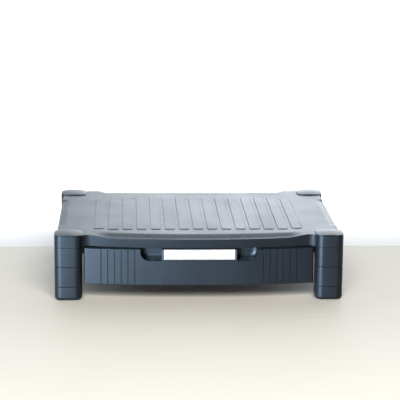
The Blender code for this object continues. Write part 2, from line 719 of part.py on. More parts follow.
def recess_outline(grow=0.0):
    """Finger recess as (x, z), open above the drawer front."""
    half = RECESS_HALF + grow
    corner = RECESS_CORNER + grow
    low = RECESS_FLOOR - grow
    high = FRONT_TOP + CUT_OVER
    points = [(half, high), (-half, high)]
    points += arc((-half + corner, low + corner), corner, math.pi, 1.5 * math.pi, CORNER_STEPS)
    points += arc((half - corner, low + corner), corner, 1.5 * math.pi, math.tau, CORNER_STEPS)
    return points


def slab_along_y(bm, outline, front, back):
    """Prism over an outline of (x, z) between two stations."""
    face = bm.faces.new([bm.verts.new((x, y_at(front), z)) for x, z in outline])
    raised = bmesh.ops.extrude_face_region(bm, geom=[face])
    far = [item for item in raised["geom"] if isinstance(item, bmesh.types.BMVert)]
    bmesh.ops.translate(bm, verts=far, vec=(0.0, back - front, 0.0))


def build_drawer_front(material, parent):
    bm = bmesh.new()
    prism(bm, in_world(front_outline()), DRAWER_BOTTOM, FRONT_TOP)
    front = add_object("drawer_front", bm, material)

    bm = bmesh.new()
    hollow = [(x, station if station < FRONT_BACK else station + CUT_OVER)
              for x, station in front_outline(FRONT_WALL)]
    prism(bm, in_world(hollow), DRAWER_BOTTOM + FRONT_WALL, FRONT_TOP - FRONT_WALL)
    hollow_cutter = add_object("front_hollow_cutter", bm)
    bm = bmesh.new()
    slab_along_y(bm, recess_outline(RECESS_WALL), FRONT_APEX - CUT_OVER, RECESS_BACK + RECESS_WALL)
    boolean(hollow_cutter, add_object("recess_housing_shape", bm))
    boolean(front, hollow_cutter)

    bm = bmesh.new()
    slab_along_y(bm, recess_outline(), FRONT_APEX - CUT_OVER, RECESS_BACK)
    boolean(front, add_object("recess_cutter", bm))

    bm = bmesh.new()
    for x in FRONT_SCREWS:
        start = drawer_station(x) + FRONT_WALL / 2
        disc_along_y(bm, x, start, FRONT_SCREW_HEIGHT, BOSS_RADIUS, FRONT_BACK - start)
    boolean(front, add_object("front_boss_shape", bm), "UNION")
    bm = bmesh.new()
    for x in FRONT_SCREWS:
        radius = SCREW_RADIUS + HOLE_CLEARANCE / 2
        disc_along_y(bm, x, FRONT_BACK - SCREW_LENGTH - GAP, FRONT_SCREW_HEIGHT, radius, SCREW_LENGTH + CUT_OVER)
    boolean(front, add_object("front_screw_hole_cutter", bm))

    bm = bmesh.new()
    for side in (-1, 1):
        for number in range(GROOVES_PER_SIDE):
            x = side * (GROOVE_FIRST + number * GROOVE_PITCH)
            y = y_at(drawer_station(x))
            box(bm, (x - GROOVE_WIDTH / 2, y - CUT_OVER, DRAWER_BOTTOM - CUT_OVER),
                (x + GROOVE_WIDTH / 2, y + GROOVE_DEPTH, FRONT_TOP + CUT_OVER))
    boolean(front, add_object("groove_cutter", bm))
    seat_in_drawer(front, parent)
    return front


def build_label(plastic, paper, parent):
    low = RECESS_FLOOR + GAP
    high = FRONT_TOP - GAP
    card_half = HOLDER_HALF - HOLDER_JAMB + CARD_GRIP
    card_front = HOLDER_FRONT + CARD_BEHIND
    bm = bmesh.new()
    box(bm, (-HOLDER_HALF, y_at(HOLDER_FRONT), low), (HOLDER_HALF, y_at(RECESS_BACK - GAP), high))
    holder = add_object("label_holder", bm, plastic)
    bm = bmesh.new()
    window = HOLDER_HALF - HOLDER_JAMB
    box(bm, (-window, y_at(HOLDER_FRONT - CUT_OVER), low + HOLDER_SILL),
        (window, y_at(card_front + CARD_THICK / 2), high + CUT_OVER))
    boolean(holder, add_object("label_window_cutter", bm))
    bm = bmesh.new()
    box(bm, (-card_half - GAP, y_at(card_front - GAP), low + HOLDER_SILL),
        (card_half + GAP, y_at(card_front + CARD_THICK + GAP), high + CUT_OVER))
    boolean(holder, add_object("label_slot_cutter", bm))
    seat_in_drawer(holder, parent)

    bm = bmesh.new()
    box(bm, (-card_half, y_at(card_front), low + HOLDER_SILL + GAP),
        (card_half, y_at(card_front + CARD_THICK), high - GAP))
    card = add_object("label_card", bm, paper)
    seat_in_drawer(card, parent)


def build_tray(material, parent):
    back = y_at(TRAY_BACK)
    front = y_at(TRAY_FRONT)
    bm = bmesh.new()
    box(bm, (-TRAY_HALF, front, TRAY_FLOOR), (TRAY_HALF, back, TRAY_TOP))
    tray = add_object("drawer_tray", bm, material)
    bm = bmesh.new()
    box(bm, (-FLANGE_HALF, y_at(RAIL_FRONT - 4 * TRAY_WALL), TRAY_TOP - FLANGE_THICK),
        (FLANGE_HALF, back, TRAY_TOP))
    boolean(tray, add_object("tray_flange_shape", bm), "UNION")
    bm = bmesh.new()
    for side in (-1, 1):
        inner = side * (TRAY_HALF - STOP_WIDTH)
        outer = side * TRAY_HALF
        box(bm, (min(inner, outer), y_at(STOP_FRONT), TRAY_TOP - TRAY_WALL),
            (max(inner, outer), y_at(STOP_FRONT + STOP_LENGTH), STOP_TOP))
    boolean(tray, add_object("tray_stop_shape", bm), "UNION")
    bm = bmesh.new()
    inner = rounded_rectangle(TRAY_HALF - TRAY_WALL, (TRAY_BACK - TRAY_FRONT) / 2 - TRAY_WALL, TRAY_WALL)
    middle = y_at((TRAY_BACK + TRAY_FRONT) / 2)
    prism(bm, place(inner, 0.0, middle), TRAY_FLOOR + TRAY_WALL, STOP_TOP + CUT_OVER)
    boolean(tray, add_object("tray_hollow_cutter", bm))
    bm = bmesh.new()
    for x in FRONT_SCREWS:
        radius = SCREW_RADIUS + HOLE_CLEARANCE
        disc_along_y(bm, x, TRAY_FRONT - CUT_OVER, FRONT_SCREW_HEIGHT, radius, TRAY_WALL + 2 * CUT_OVER)
    boolean(tray, add_object("tray_screw_hole_cutter", bm))
    seat_in_drawer(tray, parent)


def seat_in_drawer(item, slide):
    """Hangs a piece modelled in world place on the drawer's slide empty."""
    item.parent = slide
    item.location = item.location - slide.location


def build_front_screws(material, slide):
    for number, x in enumerate(FRONT_SCREWS, start=1):
        seat = TRAY_FRONT + TRAY_WALL + GAP
        reach = seat - FRONT_BACK + SCREW_LENGTH - GAP
        name = "front_screw_{}".format(number)
        screw = add_object(name, screw_mesh(reach), material, (x, y_at(seat), FRONT_SCREW_HEIGHT))
        screw.rotation_euler = (math.radians(90), 0.0, 0.0)
        seat_in_drawer(screw, slide)


def add_empty(name, location=(0.0, 0.0, 0.0)):
    empty = bpy.data.objects.new(name, None)
    empty.location = location
    bpy.context.scene.collection.objects.link(empty)
    return empty


def main():
    clear_scene()
    plastic = make_material("charcoal_abs", (0.050, 0.062, 0.080), 0.38)
    dark = make_material("black_abs", (0.020, 0.022, 0.026), 0.50)
    rubber = make_material("black_rubber", (0.012, 0.012, 0.013), 0.80)
    steel = make_material("zinc_steel", (0.55, 0.55, 0.56), 0.35, 1.0)
    paper = make_material("white_card", (0.86, 0.87, 0.88), 0.65)

    stand = add_empty("stand")
    slide = add_empty("drawer_slide", Vector((0.0, y_at(FRONT_APEX), LEDGE_TOP)))

    build_deck(plastic, stand)
    for corner, side, rear in CORNERS:
        build_leg(corner, side, rear, plastic, rubber, stand)
    for name, side in (("left", -1), ("right", 1)):
        build_rail(name, side, dark, steel, stand)

    build_drawer_front(plastic, slide)
    build_label(plastic, paper, slide)
    build_tray(dark, slide)
    build_front_screws(steel, slide)


main()
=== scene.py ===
# %% [markdown]
# # A monitor riser stand, finished for the camera
#
# The stand is an injection-moulded deck on four stacked corner legs, with a shallow drawer under
# it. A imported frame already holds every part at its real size, with its collision and its joint.
# This script keeps those sizes and draws each part again with the radii, grooves and surface
# finish that moulding leaves. Each part replaces its node of the frame and rides on the same body.

import math

import bmesh
import bpy
from mathutils import Matrix, Vector


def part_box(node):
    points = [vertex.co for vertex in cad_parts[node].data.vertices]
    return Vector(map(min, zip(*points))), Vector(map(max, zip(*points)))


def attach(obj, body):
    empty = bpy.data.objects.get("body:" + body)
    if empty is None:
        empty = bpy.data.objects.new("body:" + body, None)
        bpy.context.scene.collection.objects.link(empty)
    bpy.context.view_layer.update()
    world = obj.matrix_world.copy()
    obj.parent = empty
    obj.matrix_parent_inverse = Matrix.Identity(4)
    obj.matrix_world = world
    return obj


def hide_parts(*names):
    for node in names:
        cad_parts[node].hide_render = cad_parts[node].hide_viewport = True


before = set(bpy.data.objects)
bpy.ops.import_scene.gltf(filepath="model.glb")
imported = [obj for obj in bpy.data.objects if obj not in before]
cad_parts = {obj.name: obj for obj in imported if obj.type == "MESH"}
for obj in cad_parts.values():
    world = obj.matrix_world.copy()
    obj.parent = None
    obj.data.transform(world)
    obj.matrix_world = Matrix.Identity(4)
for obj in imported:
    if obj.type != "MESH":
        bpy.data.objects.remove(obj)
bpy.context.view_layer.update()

# %% [markdown]
# ## Sizes come from the frame
#
# A part that is drawn again has to meet its neighbours, so its place is read from the frame's
# boxes and only the small radii are chosen here. The legs give the frame its corners: their outer
# faces are the full width, and the front of the front legs is where the deck and the drawer are
# measured from.

# %% Corner sizes read from the frame
MM = 0.001
NEAR = 1e-6                          # places closer than a thousandth of a millimetre are one place
CORNERS = ("front_left", "front_right", "rear_left", "rear_right")
leg_low, leg_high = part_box("column_lower_front_right")
LEG_SIZE = leg_high.x - leg_low.x
HALF_WIDTH = leg_high.x
FRONT_Y = leg_low.y
REAR_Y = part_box("column_lower_rear_right")[1].y
DEPTH = REAR_Y - FRONT_Y
LEG_INNER_X = HALF_WIDTH - LEG_SIZE
SEAM = 0.3 * MM                      # gap that the frame keeps between parts that touch
LEG_CORNER = 10 * MM
LEG_WALL = 3 * MM
ROUND_STEPS = 10
print("leg", round(LEG_SIZE, 4), "half width", round(HALF_WIDTH, 4), "depth", round(DEPTH, 4))


# %% [markdown]
# ## A few modelling helpers
#
# Blender's bmesh operators do the modelling. `block` is a cube stretched to two corners, whose
# upright edges can be rounded. `round_edges` is the bevel with its defaults spelled out. `combine`
# is an exact Boolean that runs at once and hands back a plain mesh, so no cutter stays in the
# scene.

# %% Modelling helpers
def round_edges(bm, edges, radius, segments):
    """Rounds edges with a circular bevel and returns the faces that it made."""
    made = bmesh.ops.bevel(bm, geom=list(edges), offset=radius, offset_type="OFFSET",
                           affect="EDGES", segments=segments, profile=0.5, material=-1,
                           clamp_overlap=True)
    return made["faces"]


def edges_at(bm, axis, value):
    """Edges whose two ends lie on one plane across an axis (0, 1 or 2)."""
    found = []
    for edge in bm.edges:
        if all(abs(vert.co[axis] - value) < NEAR for vert in edge.verts):
            found.append(edge)
    return found


def edges_along(bm, axis):
    """Edges that run along an axis."""
    found = []
    for edge in bm.edges:
        run = edge.verts[1].co - edge.verts[0].co
        if abs(run[axis]) > 0.999 * run.length:
            found.append(edge)
    return found


def face_at(bm, axis, value):
    """The largest face that lies on one plane across an axis."""
    faces = [face for face in bm.faces
             if all(abs(vert.co[axis] - value) < NEAR for vert in face.verts)]
    return max(faces, key=lambda face: face.calc_area())


def block(low, high, corner=0.0, steps=ROUND_STEPS):
    """Cube stretched between two corners, its upright edges rounded."""
    low = Vector(low)
    high = Vector(high)
    bm = bmesh.new()
    bmesh.ops.create_cube(bm, size=1.0)
    bmesh.ops.scale(bm, vec=high - low, verts=bm.verts)
    bmesh.ops.translate(bm, vec=(low + high) / 2, verts=bm.verts)
    if corner:
        round_edges(bm, edges_along(bm, 2), corner, steps)
    return bm


def push_face(bm, face, inset, distance):
    """Insets a face and extrudes it along its normal; the moved face is returned."""
    if inset:
        bmesh.ops.inset_individual(bm, faces=[face], thickness=inset, use_even_offset=True)
    normal = face.normal.copy()
    made = bmesh.ops.extrude_face_region(bm, geom=[face])["geom"]
    verts = [item for item in made if isinstance(item, bmesh.types.BMVert)]
    bmesh.ops.translate(bm, vec=normal * distance, verts=verts)
    return next(item for item in made if isinstance(item, bmesh.types.BMFace))


def join(parts):
    """Puts several bmeshes that don't touch into one."""
    whole = bmesh.new()
    for bm in parts:
        mesh = bpy.data.meshes.new("part")
        bm.to_mesh(mesh)
        bm.free()
        whole.from_mesh(mesh)
        bpy.data.meshes.remove(mesh)
    return whole


def scratch(bm):
    """Short-lived object for a modifier to work on."""
    mesh = bpy.data.meshes.new("scratch")
    bmesh.ops.recalc_face_normals(bm, faces=bm.faces)
    bm.to_mesh(mesh)
    bm.free()
    item = bpy.data.objects.new("scratch", mesh)
    bpy.context.scene.collection.objects.link(item)
    return item


def combine(bm, tool, operation="DIFFERENCE"):
    """Exact Boolean of two closed bmeshes; both are used up."""
    target = scratch(bm)
    cutter = scratch(tool)
    modifier = target.modifiers.new("cut", "BOOLEAN")
    modifier.operation = operation
    modifier.solver = "EXACT"
    modifier.object = cutter
    result = bmesh.new()
    result.from_object(target, bpy.context.evaluated_depsgraph_get())
    for item in (target, cutter):
        mesh = item.data
        bpy.data.objects.remove(item, do_unlink=True)
        bpy.data.meshes.remove(mesh)
    bmesh.ops.remove_doubles(result, verts=result.verts, dist=0.002 * MM)
    return result


def smooth_step(value, start, end):
    """0 at start, 1 at end, level at both."""
    t = min(max((value - start) / (end - start), 0.0), 1.0)
    return t * t * (3.0 - 2.0 * t)


LEVEL = 0.999                        # a face whose normal points up more than this is level


def grid_cut(bm, axis, places, level_only=False):
    """Cuts the whole mesh, or only its level faces, with planes across an axis."""
    normal = [0.0, 0.0, 0.0]
    normal[axis] = 1.0
    for value in places:
        point = Vector(normal) * value
        faces = [face for face in bm.faces if not level_only or face.normal.z > LEVEL]
        edges = dict.fromkeys(edge for face in faces for edge in face.edges)
        verts = dict.fromkeys(vert for face in faces for vert in face.verts)
        bmesh.ops.bisect_plane(bm, geom=[*verts, *edges, *faces], dist=0.001 * MM,
                               plane_co=point, plane_no=normal)


# %% [markdown]
# ## Finishing a piece
#
# Every piece ends the same way: smooth shading that stays crisp at real corners, and normals
# weighted by face area, so that a large flat face stays flat right up to its rounded edge. Then it
# gets its material and rides on its body, and the node that it replaces is hidden. The stand has a
# collection of its own and the stage another, because a lamp can be told to light one of them only.

# %% Finish a piece
SHARP_ANGLE = math.radians(38)
AREA_WEIGHT = 60                     # above 50, large faces count for more than small ones


def new_collection(name):
    """Collection in the scene; a lamp can be told to light one collection only."""
    group = bpy.data.collections.new(name)
    bpy.context.scene.collection.children.link(group)
    return group


stand_pieces = new_collection("stand pieces")
stage_pieces = new_collection("stage pieces")


def finish_piece(name, bm, material, body, replaced):
    """Turns a bmesh into a finished object in its place."""
    mesh = bpy.data.meshes.new(name)
    bmesh.ops.recalc_face_normals(bm, faces=bm.faces)
    bm.to_mesh(mesh)
    bm.free()
    mesh.shade_smooth()
    mesh.set_sharp_from_angle(angle=SHARP_ANGLE)
    piece = bpy.data.objects.new(name, mesh)
    stand_pieces.objects.link(piece)
    weighted = piece.modifiers.new("weighted", "WEIGHTED_NORMAL")
    weighted.keep_sharp = True
    weighted.weight = AREA_WEIGHT
    evaluated = piece.evaluated_get(bpy.context.evaluated_depsgraph_get())
    piece.data = bpy.data.meshes.new_from_object(evaluated)
    piece.modifiers.clear()
    bpy.data.meshes.remove(mesh)
    piece.data.name = name
    piece.data.materials.clear()
    piece.data.materials.append(material)
    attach(piece, body)
    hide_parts(replaced)
    return piece


# %% [markdown]
# ## Camera
#
# The stand is looked at from the front, a little to the left and about twelve degrees from above,
# with a long lens from two and a half metres away. A long lens keeps upright edges upright.

# %% Camera
CAMERA_PLACE = Vector((-0.1122, -2.6172, 0.6945))
CAMERA_YAW = math.radians(2.619)
CAMERA_PITCH = math.radians(-12.35)
CAMERA_ROLL = math.radians(0.49)
CAMERA_LENS = 150.4                  # millimetres, on a 36 mm wide sensor

camera_data = bpy.data.cameras.new("camera")
camera_data.lens = CAMERA_LENS
camera_data.sensor_width = 36.0
camera = bpy.data.objects.new("camera", camera_data)
bpy.context.scene.collection.objects.link(camera)
turn = Matrix.Rotation(-CAMERA_YAW, 4, "Z") @ Matrix.Rotation(math.pi / 2 + CAMERA_PITCH, 4, "X")
camera.matrix_world = Matrix.Translation(CAMERA_PLACE) @ turn @ Matrix.Rotation(CAMERA_ROLL, 4, "Z")
bpy.context.scene.camera = camera
bpy.context.scene.view_settings.view_transform = "Standard"
print("camera at", [round(v, 3) for v in camera.location])


# %% [markdown]
# ## Material helpers
#
# Colours are picked as sRGB hex values, the way a colour card or a screen gives them, and the
# shader wants them linear. One helper adds a node with its settings and its links.

# %% Material helpers
def linear(hex_colour):
    """Linear RGBA of an sRGB hex value."""
    channels = []
    for start in (1, 3, 5):
        value = int(hex_colour[start:start + 2], 16) / 255
        channels.append(value / 12.92 if value <= 0.04045 else ((value + 0.055) / 1.055) ** 2.4)
    return (*channels, 1.0)


def add(tree, kind, settings, inputs, output=0):
    """Adds a node and returns one output; an input takes a value or another node's output."""
    node = tree.nodes.new(kind)
    for name, value in settings.items():
        setattr(node, name, value)
    for name, value in inputs.items():
        if isinstance(value, bpy.types.NodeSocket):
            tree.links.new(value, node.inputs[name])
        else:
            node.inputs[name].default_value = value
    return node.outputs[output]


def new_material(name, **sockets):
    """Material with a Principled shader, the shader's own sockets set, and object coordinates."""
    material = bpy.data.materials.new(name)
    material.use_nodes = True
    tree = material.node_tree
    shader = tree.nodes["Principled BSDF"]
    for socket, value in sockets.items():
        shader.inputs[socket.replace("_", " ")].default_value = value
    place = add(tree, "ShaderNodeTexCoord", {}, {}, "Object")
    return material, tree, shader, place


NOISE_SPAN = {"From Min": 0.3, "From Max": 0.7}     # most of a noise lies between these
COLOURS = {"data_type": "RGBA"}                     # a mix of colours: sockets 6 and 7, result 2


# %% [markdown]
# ## Charcoal ABS, moulded against a spark-eroded tool
#
# The deck, the legs and the drawer front are charcoal ABS with a touch of blue. The steel mould
# was spark-eroded, which leaves a fine even grain on the plastic, so highlights are broad and
# soft. The real grain is about 0.3 mm, too fine to show, so it is drawn at 0.7 mm. Slow changes of
# roughness stand for flow and handling. Faces that look up are mixed a little towards pale grey in
# patches: partly dust, partly a painted sheen that makes the tops lighter, as light falling on them
# does.
# Solid ABS has an IOR of about 1.54, but the grain scatters much of its mirror shine, so a lower
# one is matched.

# %% Charcoal ABS
def moulded_charcoal_abs():
    material, tree, shader, place = new_material("charcoal ABS, spark-eroded grain", IOR=1.33)
    grain = add(tree, "ShaderNodeTexNoise", {},
                {"Vector": place, "Scale": 1 / (0.7 * MM), "Detail": 1.0, "Roughness": 0.5})
    flow = add(tree, "ShaderNodeTexNoise", {},
               {"Vector": place, "Scale": 1 / (60 * MM), "Detail": 3.0, "Roughness": 0.5})
    # This noise drives the fine roughness. It also places the pale patches of dust and painted sheen
    # on faces that look up.
    dust_and_sheen_noise = add(tree, "ShaderNodeTexNoise", {},
               {"Vector": place, "Scale": 1 / (5 * MM), "Detail": 4.0, "Roughness": 0.65})

    clouds = add(tree, "ShaderNodeMapRange", {}, {**NOISE_SPAN, "Value": flow})
    base = add(tree, "ShaderNodeMix", COLOURS,
               {"Factor": clouds, 6: linear("#07080A"), 7: linear("#0A0B0D")}, 2)
    # Painted sheen with some dust: the more a face looks up, the more it is mixed towards pale grey,
    # so tops read lighter, as the light on them would make them.
    normal = add(tree, "ShaderNodeNewGeometry", {}, {}, "Normal")
    up = add(tree, "ShaderNodeSeparateXYZ", {}, {"Vector": normal}, "Z")
    level = add(tree, "ShaderNodeMapRange", {},
                {"Value": up, "From Min": 0.6, "From Max": 1.0, "To Max": 0.10})
    patches = add(tree, "ShaderNodeMapRange", {},
                  {"Value": dust_and_sheen_noise, "From Min": 0.35, "From Max": 0.75, "To Min": 0.2, "To Max": 1.6})
    dust_and_painted_sheen = add(tree, "ShaderNodeMath", {"operation": "MULTIPLY", "use_clamp": True},
                  {0: level, 1: patches})
    # Pale grey for the dust and the painted top sheen.
    colour = add(tree, "ShaderNodeMix", COLOURS,
                 {"Factor": dust_and_painted_sheen, 6: base, 7: linear("#8F8D8A")}, 2)
    tree.links.new(colour, shader.inputs["Base Color"])

    slow = add(tree, "ShaderNodeMapRange", {},
               {**NOISE_SPAN, "Value": flow, "To Min": 0.42, "To Max": 0.47})
    fine = add(tree, "ShaderNodeMapRange", {},
               {**NOISE_SPAN, "Value": dust_and_sheen_noise, "To Min": -0.02, "To Max": 0.03})
    rough = add(tree, "ShaderNodeMath", {"operation": "ADD"}, {0: slow, 1: fine})
    tree.links.new(rough, shader.inputs["Roughness"])
    bump = add(tree, "ShaderNodeBump", {},
               {"Strength": 0.12, "Distance": 0.05 * MM, "Height": grain})
    tree.links.new(bump, shader.inputs["Normal"])
    return material


charcoal_abs = moulded_charcoal_abs()


# %% [markdown]
# ## Black ABS for the parts inside
#
# The tray, the rails and the label holder are black ABS from a polished tool. It is a little
# smoother than the deck, with faint draw marks where the drawer runs, along Y.

# %% Black ABS
def moulded_black_abs():
    material, tree, shader, place = new_material("black ABS, polished tool", IOR=1.54)
    runs = add(tree, "ShaderNodeMapping", {}, {"Vector": place, "Scale": (1.0, 0.02, 1.0)})
    marks = add(tree, "ShaderNodeTexNoise", {},
                {"Vector": runs, "Scale": 1 / (1.6 * MM), "Detail": 3.0, "Roughness": 0.6})
    cloud = add(tree, "ShaderNodeTexNoise", {},
                {"Vector": place, "Scale": 1 / (25 * MM), "Detail": 2.0, "Roughness": 0.5})
    share = add(tree, "ShaderNodeMapRange", {}, {**NOISE_SPAN, "Value": cloud})
    colour = add(tree, "ShaderNodeMix", COLOURS,
                 {"Factor": share, 6: linear("#15171A"), 7: linear("#1B1E22")}, 2)
    tree.links.new(colour, shader.inputs["Base Color"])
    rough = add(tree, "ShaderNodeMapRange", {},
                {**NOISE_SPAN, "Value": marks, "To Min": 0.36, "To Max": 0.50})
    tree.links.new(rough, shader.inputs["Roughness"])
    bump = add(tree, "ShaderNodeBump", {},
               {"Strength": 0.10, "Distance": 0.04 * MM, "Height": marks})
    tree.links.new(bump, shader.inputs["Normal"])
    return material


black_abs = moulded_black_abs()


# %% [markdown]
# ## Rubber, zinc and card
#
# The soles are black moulded rubber, matt with a slight bloom. The screws are zinc-plated steel: a
# metal, so it has no colour of its own but its reflection, with a fine crystal mottle. The label
# is uncoated card, whose fibres scatter light and give it a soft tooth.

# %% Small materials
def moulded_rubber():
    material, tree, shader, place = new_material("black rubber", IOR=1.52)
    bloom = add(tree, "ShaderNodeTexNoise", {},
                {"Vector": place, "Scale": 1 / (3 * MM), "Detail": 4.0, "Roughness": 0.6})
    share = add(tree, "ShaderNodeMapRange", {}, {"Value": bloom, "From Min": 0.35, "From Max": 0.75})
    colour = add(tree, "ShaderNodeMix", COLOURS,
                 {"Factor": share, 6: linear("#131313"), 7: linear("#222220")}, 2)
    tree.links.new(colour, shader.inputs["Base Color"])
    rough = add(tree, "ShaderNodeMapRange", {},
                {**NOISE_SPAN, "Value": bloom, "To Min": 0.70, "To Max": 0.86})
    tree.links.new(rough, shader.inputs["Roughness"])
    bump = add(tree, "ShaderNodeBump", {},
               {"Strength": 0.2, "Distance": 0.05 * MM, "Height": bloom})
    tree.links.new(bump, shader.inputs["Normal"])
    return material


def zinc_plated_steel():
    material, tree, shader, place = new_material("zinc-plated steel", Metallic=1.0)
    mottle = add(tree, "ShaderNodeTexVoronoi", {}, {"Vector": place, "Scale": 1 / (0.5 * MM)})
    colour = add(tree, "ShaderNodeMix", COLOURS,
                 {"Factor": mottle, 6: linear("#C9CDD2"), 7: linear("#A9ABA6")}, 2)
    tree.links.new(colour, shader.inputs["Base Color"])
    rough = add(tree, "ShaderNodeMapRange", {}, {"Value": mottle, "To Min": 0.26, "To Max": 0.42})
    tree.links.new(rough, shader.inputs["Roughness"])
    return material


def uncoated_card():
    material, tree, shader, place = new_material("uncoated card", IOR=1.47)
    fibre = add(tree, "ShaderNodeMapping", {}, {"Vector": place, "Scale": (0.35, 1.0, 1.0)})
    tooth = add(tree, "ShaderNodeTexNoise", {},
                {"Vector": fibre, "Scale": 1 / (0.8 * MM), "Detail": 5.0, "Roughness": 0.65})
    cloud = add(tree, "ShaderNodeTexNoise", {},
                {"Vector": place, "Scale": 1 / (12 * MM), "Detail": 2.0, "Roughness": 0.5})
    share = add(tree, "ShaderNodeMapRange", {}, {**NOISE_SPAN, "Value": cloud})
    colour = add(tree, "ShaderNodeMix", COLOURS,
                 {"Factor": share, 6: linear("#E4E9F1"), 7: linear("#EBEFF6")}, 2)
    tree.links.new(colour, shader.inputs["Base Color"])
    rough = add(tree, "ShaderNodeMapRange", {},
                {**NOISE_SPAN, "Value": tooth, "To Min": 0.62, "To Max": 0.78})
    tree.links.new(rough, shader.inputs["Roughness"])
    bump = add(tree, "ShaderNodeBump", {},
               {"Strength": 0.12, "Distance": 0.06 * MM, "Height": tooth})
    tree.links.new(bump, shader.inputs["Normal"])
    return material


black_rubber = moulded_rubber()
zinc_steel = zinc_plated_steel()
white_card = uncoated_card()
print("materials:", [material.name for material in bpy.data.materials])


# %% [markdown]
# ## Leg sections
#
# Each leg is a stack: a foot, two column sections and the collar moulded into the deck, with a cap
# on top. A section is a rounded square tube. It could be lofted from rings, but a cube whose
# upright edges are rounded, then its rims, is how a person would model it. Its top face is inset
# and raised into the plug that enters the piece above, and its bottom face is pushed in to make
# the socket. The eased rims leave the fine shadow line at every joint. The flat sides are bowed by
# less than a millimetre, as moulded boxes often are, which turns a flat reflection into one that
# fades across the face.

# %% Stacked leg sections
JOINT_EASE = 0.75 * MM
PLUG_HEIGHT = 9 * MM
PLUG_WALL = 2.5 * MM
PLUG_CLEARANCE = 0.15 * MM
FOOT_ROUND = 4.5 * MM
SOLE_MARGIN = 6.2 * MM
SOLE_POCKET = 2.3 * MM
CROWN = 0.9 * MM                     # how far a corner draws in on a leg's bowed side
CROWN_FADE = 1.5                     # bowing ends this many half widths from a leg's centre
STRIPS = 4                           # strips on each side of the middle of a leg's flat


def crown(bm):
    """Bows the flat sides of the legs and collars; their corners draw in and the middles stay."""
    half = LEG_SIZE / 2
    for vert in bm.verts:
        centre_x = math.copysign(HALF_WIDTH - half, vert.co.x)
        centre_y = min((FRONT_Y + half, REAR_Y - half), key=lambda y: abs(y - vert.co.y))
        across = vert.co.x - centre_x
        along = vert.co.y - centre_y
        reach = max(abs(across), abs(along)) / half
        share = CROWN * (1.0 - smooth_step(reach, 1.0, CROWN_FADE))
        vert.co.x -= share * across * (along / half) ** 2 / half
        vert.co.y -= share * along * (across / half) ** 2 / half


def leg_cuts(centre):
    """Places that cut a leg's side into narrow strips."""
    flat = LEG_SIZE / 2 - LEG_CORNER
    return [centre + flat * step / STRIPS for step in range(1 - STRIPS, STRIPS)]


def cut_leg(bm):
    """Cuts a leg piece into narrow strips both ways and crowns it."""
    middle = sum((vert.co for vert in bm.verts), Vector()) / len(bm.verts)
    grid_cut(bm, 0, leg_cuts(math.copysign(HALF_WIDTH - LEG_SIZE / 2, middle.x)))
    nearest = FRONT_Y + LEG_SIZE / 2 if middle.y < 0.0 else REAR_Y - LEG_SIZE / 2
    grid_cut(bm, 1, leg_cuts(nearest))
    crown(bm)


def leg_block(node, low_z, high_z, low_round, low_steps):
    """Rounded square block of a leg between two heights, with its rims eased."""
    low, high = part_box(node)
    bm = block((low.x, low.y, low_z), (high.x, high.y, high_z), LEG_CORNER)
    round_edges(bm, edges_at(bm, 2, low_z), low_round, low_steps)
    round_edges(bm, edges_at(bm, 2, high_z), JOINT_EASE, 3)
    return bm


def raise_plug(bm, height):
    """Hollow plug on the top face."""
    top = face_at(bm, 2, height)
    rim = push_face(bm, top, LEG_WALL - JOINT_EASE + PLUG_CLEARANCE, PLUG_HEIGHT)
    push_face(bm, rim, PLUG_WALL, -PLUG_HEIGHT)


for corner in CORNERS:
    pieces = ("foot_" + corner, "column_lower_" + corner, "column_upper_" + corner)
    seams = [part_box(name)[0].z for name in pieces[1:]] + [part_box("deck")[0].z + SEAM / 2]
    for name, top_seam in zip(pieces, seams):
        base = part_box(name)[0].z
        top_z = top_seam - SEAM
        is_foot = name.startswith("foot_")
        if is_foot:
            bm = leg_block(name, base, top_z, FOOT_ROUND, 6)
            push_face(bm, face_at(bm, 2, base), SOLE_MARGIN - FOOT_ROUND, -SOLE_POCKET)
        else:
            bm = leg_block(name, base, top_z, JOINT_EASE, 3)
            push_face(bm, face_at(bm, 2, base), LEG_WALL - JOINT_EASE, -PLUG_HEIGHT - 2 * SEAM)
        raise_plug(bm, top_z)
        cut_leg(bm)
        finish_piece(name + "_moulding", bm, charcoal_abs, "stand", name)
print("leg sections:", 3 * len(CORNERS))

# %% [markdown]
# ## Soles and caps
#
# A sole is a rounded square of rubber in a pocket of the foot, with a shallow sunk middle so that
# its rim grips. A corner cap closes the collar on top of the deck: a low cushion shape with a
# round along its upper edge and a hollow plug below. Its dome is one formula: every point sinks
# with the square of its distance from the middle, the top fully and the bottom edge not at all.

# %% Soles and caps
SOLE_CORNER = 6.7 * MM
SOLE_EDGE = 0.4 * MM
SOLE_RIM = 5 * MM
SOLE_SUNK = 0.8 * MM
CAP_ROUND = 1.3 * MM
CAP_EDGE = 0.3 * MM
CAP_DOME = 1.3 * MM                  # the middle of a cap's side lies this far below its centre
CAP_PLUG = 6 * MM
CAP_STRIPS = 7

